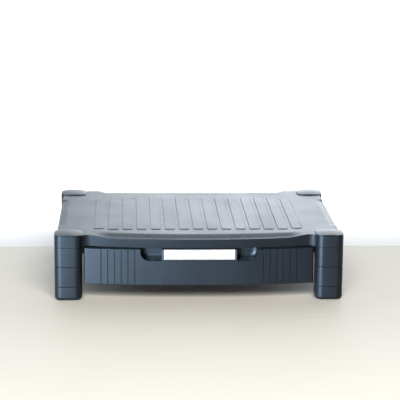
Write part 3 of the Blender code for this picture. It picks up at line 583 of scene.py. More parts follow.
for corner in CORNERS:
    low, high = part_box("foot_pad_" + corner)
    bm = block(low, high, SOLE_CORNER)
    round_edges(bm, edges_at(bm, 2, low.z), SOLE_EDGE, 3)
    push_face(bm, face_at(bm, 2, low.z), SOLE_RIM, -SOLE_SUNK)
    cut_leg(bm)
    finish_piece("foot_pad_{}_sole".format(corner), bm, black_rubber, "stand",
                 "foot_pad_" + corner)

    low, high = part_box("corner_cap_" + corner)
    shelf = low.z + CAP_PLUG + SEAM
    bm = block((low.x, low.y, shelf), high, LEG_CORNER)
    round_edges(bm, edges_at(bm, 2, high.z), CAP_ROUND, 6)
    round_edges(bm, edges_at(bm, 2, shelf), CAP_EDGE, 2)
    rim = push_face(bm, face_at(bm, 2, shelf), LEG_WALL + PLUG_CLEARANCE, CAP_PLUG)
    push_face(bm, rim, PLUG_WALL, -CAP_PLUG)
    middle = (low + high) / 2
    strip = LEG_SIZE / 2 / CAP_STRIPS
    for axis in (0, 1):
        grid_cut(bm, axis, [middle[axis] + strip * step
                            for step in range(1 - CAP_STRIPS, CAP_STRIPS)])
    bmesh.ops.triangulate(bm, faces=bm.faces)
    for vert in bm.verts:
        if vert.co.z > shelf:
            out = (vert.co - middle) / (LEG_SIZE / 2)
            rise = (vert.co.z - shelf) / (high.z - shelf)
            vert.co.z -= CAP_DOME * rise * (out.x ** 2 + out.y ** 2)
    crown(bm)
    finish_piece("corner_cap_{}_moulding".format(corner), bm, charcoal_abs, "stand",
                 "corner_cap_" + corner)
print("soles and caps:", 2 * len(CORNERS))


# %% [markdown]
# ## The deck's outline
#
# In plan the deck is a bowed lip between two round-cornered collars, with hollow rounds where the
# lip meets them. A pen that extrudes one vertex for straight runs and spins it for arcs draws the
# right half, and a mirror makes the left. The centres of the hollow rounds follow from tangency:
# each one touches the curve before it and the curve after it.

# %% Outline pen and tangent arcs
LIP_RADIUS = 825 * MM
LIP_STEPS = 26
FILLET_STEPS = 6
FRONT_FILLET = 12 * MM
SIDE_FILLET = 6 * MM
SIDE_INSET = 3.7 * MM
REAR_INSET = 3 * MM
deck_low, deck_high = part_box("deck")
BAR_RISE = 0.8 * MM
DECK_TOP = deck_high.z - BAR_RISE
LIP_PROUD = FRONT_Y - deck_low.y
BOW_CENTRE = Vector((0.0, deck_low.y + LIP_RADIUS, 0.0))
SIDE_X = HALF_WIDTH - SIDE_INSET
REAR_EDGE_Y = REAR_Y - REAR_INSET
WELD = 0.01 * MM                     # vertices closer than this are one


class Pen:
    """Draws an outline with one vertex, extruded for straight runs and spun for arcs."""

    def __init__(self, start):
        self.bm = bmesh.new()
        self.tip = self.bm.verts.new(start)

    def line(self, end):
        made = bmesh.ops.extrude_vert_indiv(self.bm, verts=[self.tip])
        self.tip = made["verts"][0]
        self.tip.co = end

    def arc(self, centre, angle, steps):
        made = bmesh.ops.spin(self.bm, geom=[self.tip], cent=centre, axis=(0.0, 0.0, 1.0),
                              angle=angle, steps=steps)
        self.tip = next(item for item in made["geom_last"] if isinstance(item, bmesh.types.BMVert))


def bearing(centre, point):
    return math.atan2(point.y - centre.y, point.x - centre.x)


def turn_between(centre, start, end, way):
    """Signed angle from one point to another about a centre, anticlockwise if way is 1."""
    angle = (bearing(centre, end) - bearing(centre, start)) * way % math.tau
    return angle * way


def touch_point(centre, other, radius):
    """Point of a circle on the line towards another centre."""
    return centre + (other - centre).normalized() * radius


def hollow_centre(first, reach, second, span, guess):
    """Centre of a round that is a given distance from two other centres, the one nearer a guess."""
    across = second - first
    along = (across.length ** 2 + reach ** 2 - span ** 2) / (2.0 * across.length)
    lift = math.sqrt(reach ** 2 - along ** 2)
    unit = across.normalized()
    side = Vector((-unit.y, unit.x, 0.0))
    options = [first + unit * along + side * lift, first + unit * along - side * lift]
    return min(options, key=lambda place: (place - guess).length)


def quarter_outline_points():
    """Centres of the arcs on the deck's right half."""
    inner = Vector((LEG_INNER_X + LEG_CORNER, FRONT_Y + LEG_CORNER, 0.0))
    outer = Vector((HALF_WIDTH - LEG_CORNER, FRONT_Y + LEG_CORNER, 0.0))
    back = Vector((HALF_WIDTH - LEG_CORNER, FRONT_Y + LEG_SIZE - LEG_CORNER, 0.0))
    lip_hollow = hollow_centre(BOW_CENTRE, LIP_RADIUS + FRONT_FILLET, inner,
                               LEG_CORNER + FRONT_FILLET,
                               Vector((LEG_INNER_X - FRONT_FILLET, FRONT_Y, 0.0)))
    side_span = LEG_CORNER + SIDE_FILLET
    side_x = SIDE_X + SIDE_FILLET
    side_hollow = Vector((side_x, back.y + math.sqrt(side_span ** 2 - (side_x - back.x) ** 2), 0.0))
    return inner, outer, back, lip_hollow, side_hollow


def deck_outline():
    """Right half of the deck in plan, from the middle of the lip to the middle of the rear."""
    inner, outer, back, lip_hollow, side_hollow = quarter_outline_points()
    pen = Pen((0.0, deck_low.y, 0.0))
    touch = touch_point(BOW_CENTRE, lip_hollow, LIP_RADIUS)
    pen.arc(BOW_CENTRE, turn_between(BOW_CENTRE, pen.tip.co, touch, 1), LIP_STEPS)
    touch = touch_point(lip_hollow, inner, FRONT_FILLET)
    pen.arc(lip_hollow, turn_between(lip_hollow, pen.tip.co, touch, -1), ROUND_STEPS)
    end = Vector((inner.x, FRONT_Y, 0.0))
    pen.arc(inner, turn_between(inner, pen.tip.co, end, 1), FILLET_STEPS)
    pen.line((outer.x, FRONT_Y, 0.0))
    pen.arc(outer, math.pi / 2, ROUND_STEPS)
    pen.line((HALF_WIDTH, back.y, 0.0))
    touch = touch_point(back, side_hollow, LEG_CORNER)
    pen.arc(back, turn_between(back, pen.tip.co, touch, 1), FILLET_STEPS)
    end = Vector((SIDE_X, side_hollow.y, 0.0))
    pen.arc(side_hollow, turn_between(side_hollow, pen.tip.co, end, -1), FILLET_STEPS)

    middle = (FRONT_Y + REAR_Y) / 2
    inner, outer, back, side_hollow = [Vector((place.x, 2 * middle - place.y, 0.0))
                                       for place in (inner, outer, back, side_hollow)]
    pen.line((SIDE_X, side_hollow.y, 0.0))
    touch = touch_point(side_hollow, back, SIDE_FILLET)
    pen.arc(side_hollow, turn_between(side_hollow, pen.tip.co, touch, -1), FILLET_STEPS)
    end = Vector((HALF_WIDTH, back.y, 0.0))
    pen.arc(back, turn_between(back, pen.tip.co, end, 1), FILLET_STEPS)
    pen.line((HALF_WIDTH, outer.y, 0.0))
    pen.arc(outer, math.pi / 2, ROUND_STEPS)
    pen.line((inner.x, REAR_Y, 0.0))
    span = LEG_CORNER + FRONT_FILLET
    rear_y = REAR_EDGE_Y + FRONT_FILLET
    rear_hollow = Vector((inner.x - math.sqrt(span ** 2 - (rear_y - inner.y) ** 2), rear_y, 0.0))
    touch = touch_point(inner, rear_hollow, LEG_CORNER)
    pen.arc(inner, turn_between(inner, pen.tip.co, touch, 1), FILLET_STEPS)
    end = Vector((rear_hollow.x, REAR_EDGE_Y, 0.0))
    pen.arc(rear_hollow, turn_between(rear_hollow, pen.tip.co, end, -1), ROUND_STEPS)
    pen.line((0.0, REAR_EDGE_Y, 0.0))
    return pen.bm


def mirrored_slab(bm, low_z, high_z):
    """Mirrors a half outline to the left, fills it and extrudes it up into a slab."""
    bmesh.ops.remove_doubles(bm, verts=bm.verts, dist=WELD)
    bmesh.ops.mirror(bm, geom=bm.verts[:] + bm.edges[:], matrix=Matrix.Identity(4),
                     merge_dist=WELD, axis="X")
    bmesh.ops.remove_doubles(bm, verts=bm.verts, dist=WELD)
    bmesh.ops.translate(bm, vec=(0.0, 0.0, low_z), verts=bm.verts)
    bmesh.ops.contextual_create(bm, geom=bm.edges[:])
    made = bmesh.ops.extrude_face_region(bm, geom=bm.faces[:])["geom"]
    verts = [item for item in made if isinstance(item, bmesh.types.BMVert)]
    bmesh.ops.translate(bm, vec=(0.0, 0.0, high_z - low_z), verts=verts)
    bmesh.ops.recalc_face_normals(bm, faces=bm.faces)
    return bm


# %% [markdown]
# ## Sinking margins
#
# Between its level corners the deck's margins sink, the front and rear ones by 4 mm and the sides
# by 2 mm, in a soft S at each end. The slab is first cut into a fine grid, then every point near
# the top moves down by one formula. The hollow underneath moves by the same formula, so the
# moulding keeps an even wall. Planes that would slice along the bowed lip cut the level top only,
# because the slivers that they leave in a rounded edge show as sparks of light.

# %% Sinking margins
EDGE_DROP = 4 * MM
SIDE_DROP = 2.2 * MM
FRONT_MARGIN = 24 * MM
SIDE_MARGIN = 12.5 * MM
REAR_MARGIN = 18 * MM
FRONT_FLAT_X = HALF_WIDTH - 54 * MM
REAR_FLAT_X = HALF_WIDTH - 61.5 * MM
FLAT_Y = 72 * MM
FRONT_BLEND = 34 * MM
SIDE_BLEND = 11 * MM
REAR_BLEND = 20 * MM
SLIVER = 0.16 * MM                    # cuts that fall this close together are welded


def lip_y(x):
    """Front of the bowed lip."""
    return BOW_CENTRE.y - math.sqrt(LIP_RADIUS ** 2 - x * x)


def deck_drop(x, y):
    """How far the deck's surface lies below its top plane."""
    x = abs(x)
    front = 1.0 - smooth_step(y - lip_y(x), 0.0, FRONT_MARGIN)
    front *= 1.0 - smooth_step(x, FRONT_FLAT_X - FRONT_BLEND, FRONT_FLAT_X)
    rear = 1.0 - smooth_step(REAR_EDGE_Y - y, 0.0, REAR_MARGIN)
    rear *= 1.0 - smooth_step(x, REAR_FLAT_X - REAR_BLEND, REAR_FLAT_X)
    side = 1.0 - smooth_step(SIDE_X - x, 0.0, SIDE_MARGIN)
    side *= smooth_step(y, FRONT_Y + FLAT_Y, FRONT_Y + FLAT_Y + SIDE_BLEND)
    side *= 1.0 - smooth_step(y, REAR_Y - FLAT_Y - SIDE_BLEND, REAR_Y - FLAT_Y)
    return max(EDGE_DROP * front, EDGE_DROP * rear, SIDE_DROP * side)


def spaced(first, last, step):
    """Values from first to last, no further apart than a step."""
    count = max(1, math.ceil((last - first) / step))
    return [first + (last - first) * i / count for i in range(count + 1)]


def sink(bm, above_z):
    """Cuts a slab into a fine grid, finer where the margins bend, and lets its top sink."""
    across = spaced(0.0, FRONT_FLAT_X - FRONT_BLEND, 11 * MM)
    across += spaced(FRONT_FLAT_X - FRONT_BLEND, FRONT_FLAT_X, 3 * MM)
    across += spaced(SIDE_X - SIDE_MARGIN, SIDE_X - 0.5 * MM, 2 * MM)
    behind_lip = spaced(deck_low.y + 2 * MM, lip_y(FRONT_FLAT_X) + FRONT_MARGIN, 2.5 * MM)
    along = spaced(FRONT_Y + FLAT_Y, FRONT_Y + FLAT_Y + SIDE_BLEND, 2 * MM)
    along += spaced(REAR_Y - FLAT_Y - SIDE_BLEND, REAR_Y - FLAT_Y, 2 * MM)
    along += spaced(REAR_EDGE_Y - REAR_MARGIN, REAR_EDGE_Y - 0.5 * MM, 2 * MM)
    across += leg_cuts(HALF_WIDTH - LEG_SIZE / 2)
    along += leg_cuts(FRONT_Y + LEG_SIZE / 2) + leg_cuts(REAR_Y - LEG_SIZE / 2)
    grid_cut(bm, 0, sorted({side * x for x in across for side in (-1.0, 1.0)}))
    grid_cut(bm, 1, along)
    grid_cut(bm, 1, behind_lip, level_only=True)
    bmesh.ops.remove_doubles(bm, verts=bm.verts, dist=SLIVER)
    bmesh.ops.triangulate(bm, faces=bm.faces)
    for vert in bm.verts:
        if vert.co.z > above_z:
            vert.co.z -= deck_drop(vert.co.x, vert.co.y)
    crown(bm)
    return bm


# %% [markdown]
# ## The deck
#
# The outline becomes a slab whose sides lean in towards the bottom, so that the mould lets it go,
# with a one-millimetre round along its upper edge, and its margins sink. A second slab, one wall
# thickness smaller, cuts the hollow below. The four collars are bored for the legs' plugs. Fifteen
# grip bars stand in narrow shallow moats: the moats are cut first, then the bars, with rounded
# tops, are joined on. Ribs stiffen the underside, as on any moulded shelf.

# %% Deck
DECK_WALL = 3 * MM
LIP_ROUND = 1.1 * MM
UNDER_ROUND = 0.5 * MM
LIP_LEAN = 1.6 * MM                  # how far the lip and sides lie further in at the bottom
BAR_COUNT = 15
BAR_PITCH = 21.8 * MM
BAR_WIDTH = 15 * MM
BAR_FRONT = FRONT_Y + 48 * MM
BAR_REAR = REAR_Y - 63 * MM
BAR_CORNER = 2.2 * MM
BAR_EDGE = 0.4 * MM
END_BAR_SHORTER = 4.5 * MM
END_BAR_CORNER = 5 * MM
MOAT_WIDTH = 0.9 * MM
MOAT_DEPTH = 0.3 * MM
RIB_THICK = 2.2 * MM
RIB_DEPTH = 6 * MM
RIB_REACH = 150 * MM
RIB_STATIONS = [FRONT_Y + (60 + 80 * number) * MM for number in range(4)]


def bar_block(index, grow, low_z, high_z):
    """One grip bar, or the moat round it when grown."""
    ends = index in (0, BAR_COUNT - 1)
    x = (index - (BAR_COUNT - 1) / 2) * BAR_PITCH
    half = BAR_WIDTH / 2 + grow
    shorter = END_BAR_SHORTER - grow if ends else -grow
    corner = (END_BAR_CORNER if ends else BAR_CORNER) + grow
    low = (x - half, BAR_FRONT + shorter, low_z)
    high = (x + half, BAR_REAR - shorter, high_z)
    return block(low, high, corner, 6)


def hollow_outline():
    """Right half of the hollow under the deck."""
    pen = Pen((0.0, deck_low.y + DECK_WALL, 0.0))
    inner_radius = LIP_RADIUS - DECK_WALL
    reach = math.asin(LEG_INNER_X / inner_radius)
    pen.arc(BOW_CENTRE, reach, LIP_STEPS)
    pen.line((LEG_INNER_X, FRONT_Y + LEG_SIZE, 0.0))
    pen.line((SIDE_X - DECK_WALL, FRONT_Y + LEG_SIZE, 0.0))
    pen.line((SIDE_X - DECK_WALL, REAR_Y - LEG_SIZE, 0.0))
    pen.line((LEG_INNER_X, REAR_Y - LEG_SIZE, 0.0))
    pen.line((LEG_INNER_X, REAR_EDGE_Y - DECK_WALL, 0.0))
    pen.line((0.0, REAR_EDGE_Y - DECK_WALL, 0.0))
    return pen.bm


def lean_lip(bm, bottom_z):
    """Leans the lip and the sides in towards the bottom, and leaves the collars upright."""
    for vert in bm.verts:
        if vert.co.z < bottom_z + NEAR:
            walls = [face.normal for face in vert.link_faces if abs(face.normal.z) < 0.5]
            share = 1.0 - smooth_step(abs(vert.co.x), LEG_INNER_X - FRONT_FILLET, LEG_INNER_X)
            outward = (walls[0] + walls[-1]).normalized()
            vert.co -= outward * LIP_LEAN * share


def build_deck():
    deck = mirrored_slab(deck_outline(), deck_low.z, DECK_TOP)
    lean_lip(deck, deck_low.z)
    round_edges(deck, edges_at(deck, 2, DECK_TOP), LIP_ROUND, 4)
    round_edges(deck, edges_at(deck, 2, deck_low.z), UNDER_ROUND, 2)
    deck = sink(deck, DECK_TOP - LIP_ROUND - WELD)
    under = DECK_TOP - DECK_WALL
    hollow = sink(mirrored_slab(hollow_outline(), deck_low.z - 2 * MM, under), under - WELD)
    deck = combine(deck, hollow)

    bores = []
    for corner in CORNERS:
        low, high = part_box("column_upper_" + corner)
        wall = Vector((LEG_WALL, LEG_WALL, 0.0))
        low = Vector((low.x, low.y, deck_low.z - MM)) + wall
        high = Vector((high.x, high.y, DECK_TOP + MM)) - wall
        bores.append(block(low, high, LEG_CORNER - LEG_WALL))
    deck = combine(deck, join(bores))

    moats = [bar_block(index, MOAT_WIDTH, DECK_TOP - MOAT_DEPTH, DECK_TOP + MM)
             for index in range(BAR_COUNT)]
    deck = combine(deck, join(moats))
    bars = []
    for index in range(BAR_COUNT):
        bar = bar_block(index, 0.0, DECK_TOP - DECK_WALL / 2, deck_high.z)
        round_edges(bar, edges_at(bar, 2, deck_high.z), BAR_EDGE, 3)
        bars.append(bar)
    deck = combine(deck, join(bars), "UNION")

    low_z = under - RIB_DEPTH
    high_z = under + DECK_WALL / 3
    half = RIB_THICK / 2
    ribs = [block((-RIB_REACH, y - half, low_z), (RIB_REACH, y + half, high_z))
            for y in RIB_STATIONS]
    deck = combine(deck, join(ribs), "UNION")
    first, last = RIB_STATIONS[0] - RIB_THICK, RIB_STATIONS[-1] + RIB_THICK
    long_ribs = []
    for step in (-1, 0, 1):
        x = step * RIB_REACH / 2
        long_ribs.append(block((x - half, first, low_z), (x + half, last, high_z)))
    return combine(deck, join(long_ribs), "UNION")


deck_piece = finish_piece("deck_moulding", build_deck(), charcoal_abs, "stand",
                          "deck")
print("deck faces:", len(deck_piece.data.polygons))


# %% [markdown]
# ## Drawer front
#
# The front is bowed, which makes its recess and grooves awkward to round. So it is modelled flat,
# where every face is a plane: a block, a finger recess with a scooped back, six grooves on each
# side, and all the edges that a finger meets are rounded. Then it is cut into narrow upright
# strips and bent, the way a steamed board is. The back stays flat, because it is screwed to the
# tray.

# %% Drawer front
DRAWER_RADIUS = 1300 * MM
front_low, front_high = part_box("drawer_front")
FRONT_HALF = front_high.x
FRONT_WALL = 2.8 * MM
END_ROUND = 2.5 * MM
FRONT_EDGE_ROUND = 0.8 * MM
GROOVES_PER_SIDE = 6
GROOVE_END = 26 * MM
GROOVE_PITCH = 10.2 * MM
GROOVE_WIDTH = 1.4 * MM
GROOVE_DEPTH = 1.5 * MM
GROOVE_ROUND = 0.4 * MM
RIM_ROUND = 0.7 * MM
RECESS_DROP = 17.6 * MM
RECESS_CORNER = 13.5 * MM
RECESS_BACK = FRONT_Y + 13 * MM
RECESS_SCOOP = 9 * MM
groove_first = FRONT_HALF - GROOVE_END - (GROOVES_PER_SIDE - 1) * GROOVE_PITCH
RECESS_HALF = groove_first - 8.4 * MM


def bend(x, y):
    """How far back the bow moves a point of the flat front; its back face stays."""
    bow = DRAWER_RADIUS - math.sqrt(DRAWER_RADIUS ** 2 - x * x)
    held = front_low.y + 4 * MM
    return bow * (1.0 - min(max((y - held) / (front_high.y - held), 0.0), 1.0))


def recess_block():
    """Finger recess: rounded lower corners and a scooped back."""
    low = Vector((-RECESS_HALF, front_low.y - MM, front_high.z - RECESS_DROP))
    high = Vector((RECESS_HALF, RECESS_BACK, front_high.z + 12 * MM))
    bm = block(low, high)
    floor_edges = [edge for edge in edges_along(bm, 1) if edge.verts[0].co.z < low.z + NEAR]
    round_edges(bm, floor_edges, RECESS_CORNER, 12)
    scoop = [edge for edge in edges_at(bm, 1, RECESS_BACK)
             if min(vert.co.z for vert in edge.verts) < high.z - NEAR]
    round_edges(bm, scoop, RECESS_SCOOP, 9)
    return bm


def groove_blocks():
    """Upright grooves with rounded bottoms, on both sides of the recess."""
    grooves = []
    for side in (-1, 1):
        for number in range(GROOVES_PER_SIDE):
            x = side * (groove_first + number * GROOVE_PITCH)
            bm = block((x - GROOVE_WIDTH / 2, front_low.y - MM, front_low.z - MM),
                       (x + GROOVE_WIDTH / 2, front_low.y + GROOVE_DEPTH, front_high.z + MM))
            deep = [edge for edge in edges_along(bm, 2) if edge.verts[0].co.y > front_low.y]
            round_edges(bm, deep, GROOVE_ROUND, 3)
            grooves.append(bm)
    return join(grooves)


def build_drawer_front():
    front = block(front_low, front_high)
    ends = [edge for edge in edges_along(front, 2) if edge.verts[0].co.y < front_low.y + NEAR]
    round_edges(front, ends, END_ROUND, 6)
    for height in (front_low.z, front_high.z):
        rim = [edge for edge in edges_at(front, 2, height)
               if min(vert.co.y for vert in edge.verts) < front_high.y - NEAR]
        round_edges(front, rim, FRONT_EDGE_ROUND, 4)
    front = combine(front, recess_block())
    front = combine(front, groove_blocks())
    rims = []                        # the rims of recess and grooves, but not the front's own edges
    for edge in edges_at(front, 1, front_low.y):
        middle = (edge.verts[0].co + edge.verts[1].co) / 2
        if len(edge.link_faces) == 2 and abs(middle.x) < groove_first + 60 * MM:
            inner = any(abs(face.normal.y) < 0.5 for face in edge.link_faces)
            level = abs(edge.verts[0].co.z - edge.verts[1].co.z) < NEAR
            at_rim = middle.z > front_high.z - 1.5 * MM or middle.z < front_low.z + 1.5 * MM
            if inner and not (level and at_rim):
                rims.append(edge)
    print("recess and groove edges to ease:", len(rims))
    round_edges(front, rims, RIM_ROUND, 4)

    hollow = block((-FRONT_HALF + FRONT_WALL, front_low.y + FRONT_WALL, front_low.z + FRONT_WALL),
                   (FRONT_HALF - FRONT_WALL, front_high.y + MM, front_high.z - FRONT_WALL))
    reach = RECESS_HALF + FRONT_WALL
    floor_z = front_high.z - RECESS_DROP - FRONT_WALL
    housing = block((-reach, front_low.y - MM, floor_z),
                    (reach, RECESS_BACK + FRONT_WALL, front_high.z + MM))
    front = combine(front, combine(hollow, housing))
    grid_cut(front, 0, spaced(-FRONT_HALF + END_ROUND, FRONT_HALF - END_ROUND, 6 * MM))
    for vert in front.verts:
        vert.co.y += bend(vert.co.x, vert.co.y)
    return front


front_piece = finish_piece("drawer_front_moulding", build_drawer_front(), charcoal_abs,
                           "drawer", "drawer_front")
print("drawer front faces:", len(front_piece.data.polygons))


# %% [markdown]
# ## Parts that only need eased edges
#
# The tray, the rails and the label holder already have their true shape in the frame. Their nodes
# are loose triangles, so a copy is merged, its flat areas are dissolved back into whole faces, and
# its corners get the small radius that a mould leaves.

# %% Eased copies of frame nodes
CORNER_ANGLE = 0.9                   # radians; flatter edges stay as they are


def eased_copy(node, radius, segments):
    """Merged copy of a node with its square corners rounded."""
    bm = bmesh.new()
    bm.from_mesh(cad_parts[node].data)
    bmesh.ops.remove_doubles(bm, verts=bm.verts, dist=0.005 * MM)
    bmesh.ops.dissolve_limit(bm, angle_limit=math.radians(1), verts=bm.verts, edges=bm.edges)
    corners = [edge for edge in bm.edges
               if len(edge.link_faces) == 2 and edge.calc_face_angle() > CORNER_ANGLE]
    round_edges(bm, corners, radius, segments)
    return bm


for node, material, slot, body, radius in (
        ("drawer_tray", black_abs, "black_abs", "drawer", 0.5 * MM),
        ("drawer_rail_left", black_abs, "black_abs", "stand", 0.3 * MM),
        ("drawer_rail_right", black_abs, "black_abs", "stand", 0.3 * MM),
        ("label_holder", black_abs, "black_abs", "drawer", 0.3 * MM)):
    bm = eased_copy(node, radius, 2)
    piece = finish_piece(node + "_moulding", bm, material, body, node)
    print(node, len(piece.data.polygons), "faces")


# %% [markdown]
# ## Label card
#
# A slip of card in the holder's groove. Real card is never quite flat, so it is cut into small
# squares and given a wave of a tenth of a millimetre, which is enough to break up its reflection.
# White card next to black plastic burns out under the lamp that the plastic needs, so it joins the
# stage's collection and takes the floor's softer light.

# %% Label card
CARD_WAVE = 0.1 * MM
WAVE_X = 55.0                        # radians a metre, so a wave is about 11 cm long
WAVE_Z = 140.0                       # and 4.5 cm high


def build_card():
    """Thin upright slip with a slight wave."""
    low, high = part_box("label_card")
    bm = block(low, high)
    grid_cut(bm, 0, spaced(low.x, high.x, 4 * MM)[1:-1])
    grid_cut(bm, 2, spaced(low.z, high.z, 4 * MM)[1:-1])
    for vert in bm.verts:
        vert.co.y += CARD_WAVE * math.sin(vert.co.x * WAVE_X) * math.cos(vert.co.z * WAVE_Z)
    return bm


card = finish_piece("label_card_slip", build_card(), white_card, "drawer",
                    "label_card")
stand_pieces.objects.unlink(card)
stage_pieces.objects.link(card)


# %% [markdown]
# ## Screws
#
# Nine pan-head screws hold the rails and the drawer front. Each is spun from half a profile: the
# edge of the head, its flat dome and the shank. A tapered cross, made from two crossed blocks, is
# cut into the head for the driver.

# %% Screws
HEAD_RADIUS = 3.2 * MM
HEAD_HEIGHT = 2.0 * MM
SHANK_RADIUS = 1.5 * MM
TIP_LENGTH = 0.6 * MM
CROSS_DEPTH = 1.2 * MM
HEAD_ROUND = ((0.45, 0.98), (0.72, 0.84), (0.92, 0.52), (1.0, 0.18), (1.0, 0.0))


def screw(node, seat, outward):
    """Pan-head screw from its seat, with its head on the outward side."""
    low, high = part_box(node)
    centre = (low + high) / 2
    axis = outward.normalized()
    end = HEAD_HEIGHT - max(high - low)
    bm = bmesh.new()
    tip = bm.verts.new((0.0, 0.0, HEAD_HEIGHT))
    profile = [(HEAD_RADIUS * across, HEAD_HEIGHT * up) for across, up in HEAD_ROUND]
    profile += [(SHANK_RADIUS, 0.0), (SHANK_RADIUS, end + TIP_LENGTH), (SHANK_RADIUS * 0.6, end),
                (0.0, end)]
    for radius, height in profile:
        tip = bmesh.ops.extrude_vert_indiv(bm, verts=[tip])["verts"][0]
        tip.co = (radius, 0.0, height)
    bmesh.ops.spin(bm, geom=bm.verts[:] + bm.edges[:], cent=(0.0, 0.0, 0.0), axis=(0.0, 0.0, 1.0),
                   angle=math.tau, steps=28, use_merge=True)
    bmesh.ops.remove_doubles(bm, verts=bm.verts, dist=WELD)
    for x, y in ((1.7 * MM, 0.32 * MM), (0.32 * MM, 1.7 * MM)):
        slot = block((-x, -y, HEAD_HEIGHT - CROSS_DEPTH), (x, y, HEAD_HEIGHT + MM))
        bottom = [vert for vert in slot.verts if vert.co.z < HEAD_HEIGHT]
        bmesh.ops.scale(slot, vec=(0.55, 0.55, 1.0), verts=bottom)
        bm = combine(bm, slot)
    turned = axis.to_track_quat("Z", "X").to_matrix().to_4x4()
    place = Vector(seat(centre))
    bmesh.ops.transform(bm, matrix=Matrix.Translation(place) @ turned, verts=bm.verts)
    return bm


for side in ("left", "right"):
    for number in (1, 2, 3):
        node = "rail_screw_{}_{}".format(side, number)
        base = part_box(node)[0].z + HEAD_HEIGHT
        bm = screw(node, lambda centre: (centre.x, centre.y, base), Vector((0.0, 0.0, -1.0)))
        finish_piece(node + "_pan_head", bm, zinc_steel, "stand", node)
for number in (1, 2, 3):
    node = "front_screw_{}".format(number)
    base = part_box(node)[1].y - HEAD_HEIGHT
    bm = screw(node, lambda centre: (centre.x, base, centre.z), Vector((0.0, 1.0, 0.0)))
    finish_piece(node + "_pan_head", bm, zinc_steel, "drawer", node)
print("screws: 9")

# %% [markdown]
# ## Floor
#
# The stand sits on a plain pale surface that turns white just behind it, so that the background
# stays clean. The surface is one large sheet; its change of colour, and the glow that keeps the
# far part white, read object coordinates.

# %% Floor
FLOOR_HALF = 9.0
WHITE_FROM = REAR_Y + 9 * MM


def pale_board():
    material, tree, shader, place = new_material(
        "pale board", Roughness=0.6, Emission_Color=(1.0, 1.0, 1.0, 1.0))
    back = add(tree, "ShaderNodeSeparateXYZ", {}, {"Vector": place}, "Y")
    fibre = add(tree, "ShaderNodeMapping", {}, {"Vector": place, "Scale": (0.05, 1.0, 1.0)})
    grain = add(tree, "ShaderNodeTexNoise", {},
                {"Vector": fibre, "Scale": 1 / (6 * MM), "Detail": 3.0, "Roughness": 0.6})
    share = add(tree, "ShaderNodeMapRange", {}, {**NOISE_SPAN, "Value": grain})
    near = add(tree, "ShaderNodeMix", COLOURS,
               {"Factor": share, 6: linear("#DFDACF"), 7: linear("#E3DFD5")}, 2)
    whiten = add(tree, "ShaderNodeMapRange", {},
                 {"Value": back, "From Min": WHITE_FROM, "From Max": WHITE_FROM + 3 * MM})
    colour = add(tree, "ShaderNodeMix", COLOURS,
                 {"Factor": whiten, 6: near, 7: linear("#F6F6F6")}, 2)
    tree.links.new(colour, shader.inputs["Base Color"])
    glow = add(tree, "ShaderNodeMapRange", {},
               {"Value": back, "From Min": WHITE_FROM + 20 * MM, "From Max": WHITE_FROM + 400 * MM})
    tree.links.new(glow, shader.inputs["Emission Strength"])
    return material


floor_mesh = bpy.data.meshes.new("floor")
bm = bmesh.new()
bmesh.ops.create_grid(bm, x_segments=2, y_segments=2, size=FLOOR_HALF)
bm.to_mesh(floor_mesh)
bm.free()
floor_mesh.materials.append(pale_board())
floor = bpy.data.objects.new("floor", floor_mesh)
stage_pieces.objects.link(floor)


# %% [markdown]
# ## Studio light
#
# Black plastic shows little but what it mirrors, and the pale floor shows what falls on it, so
# they need different lamps. A studio hangs flags to keep a lamp off one of them; here each lamp's
# light linking names the collection that it lights. A large cool softbox low at the front left
# gives the sheen on the stand's faces. A wide panel behind, further to the right, is what the deck
# mirrors at its shallow angle, so the deck brightens to the right. A high softbox in front lights
# floor and card. The world is bright behind and dim in front, a little stronger to the right and
# near the horizon, and the camera sees it as plain white.

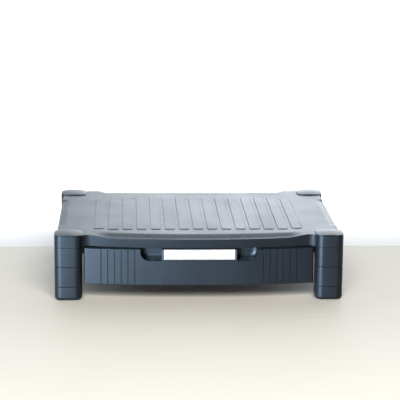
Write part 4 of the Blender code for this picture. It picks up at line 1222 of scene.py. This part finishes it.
# %% Lights
def softbox(name, place, target, width, height, power, hex_colour, lit):
    """Area lamp aimed at a target, which lights the pieces of one collection; power is in watts."""
    data = bpy.data.lights.new(name, "AREA")
    data.shape = "RECTANGLE"
    data.size = width
    data.size_y = height
    data.energy = power
    data.color = linear(hex_colour)[:3]
    lamp = bpy.data.objects.new(name, data)
    bpy.context.scene.collection.objects.link(lamp)
    lamp.location = place
    lamp.rotation_euler = (Vector(target) - Vector(place)).to_track_quat("-Z", "Y").to_euler()
    lamp.light_linking.receiver_collection = lit
    lamp.visible_camera = False
    return lamp


softbox("key softbox", (-1.25, -1.8, 0.3), (-0.1, -0.1, 0.05), 1.1, 0.5, 360.0, "#BADEFF",
        stand_pieces)
softbox("front softbox", (0.1, -2.5, 1.8), (0.0, 0.0, 0.0), 2.2, 1.4, 114.0, "#FFFDFA",
        stage_pieces)
softbox("back panel", (1.3, 2.2, 0.75), (0.1, 0.0, 0.1), 3.4, 1.4, 66.0, "#EDF5FF",
        stand_pieces)

world = bpy.data.worlds.new("studio")
world.use_nodes = True
bpy.context.scene.world = world
tree = world.node_tree
background = tree.nodes["Background"]
direction = add(tree, "ShaderNodeTexCoord", {}, {}, "Generated")
right = add(tree, "ShaderNodeSeparateXYZ", {}, {"Vector": direction}, "X")
away = add(tree, "ShaderNodeSeparateXYZ", {}, {"Vector": direction}, "Y")
up = add(tree, "ShaderNodeSeparateXYZ", {}, {"Vector": direction}, "Z")
behind = add(tree, "ShaderNodeMapRange", {},
             {"Value": away, "From Min": 0.0, "From Max": 0.7, "To Min": 0.03, "To Max": 2.2})
rightward = add(tree, "ShaderNodeMapRange", {},
                {"Value": right, "From Min": -0.5, "From Max": 0.5, "To Min": 0.95, "To Max": 1.1})
low_band = add(tree, "ShaderNodeMapRange", {},
               {"Value": up, "From Min": 0.25, "From Max": 0.8, "To Min": 1.0, "To Max": 0.35})
sideways = add(tree, "ShaderNodeMath", {"operation": "MULTIPLY"}, {0: behind, 1: rightward})
fill = add(tree, "ShaderNodeMath", {"operation": "MULTIPLY"}, {0: sideways, 1: low_band})
seen = add(tree, "ShaderNodeLightPath", {}, {}, "Is Camera Ray")
strength = add(tree, "ShaderNodeMix", {"data_type": "FLOAT"}, {"Factor": seen, 2: fill, 3: 1.0})
tree.links.new(strength, background.inputs["Strength"])
colour = add(tree, "ShaderNodeMix", COLOURS,
             {"Factor": seen, 6: linear("#EDF5FF"), 7: linear("#FFFFFF")}, 2)
tree.links.new(colour, background.inputs["Color"])
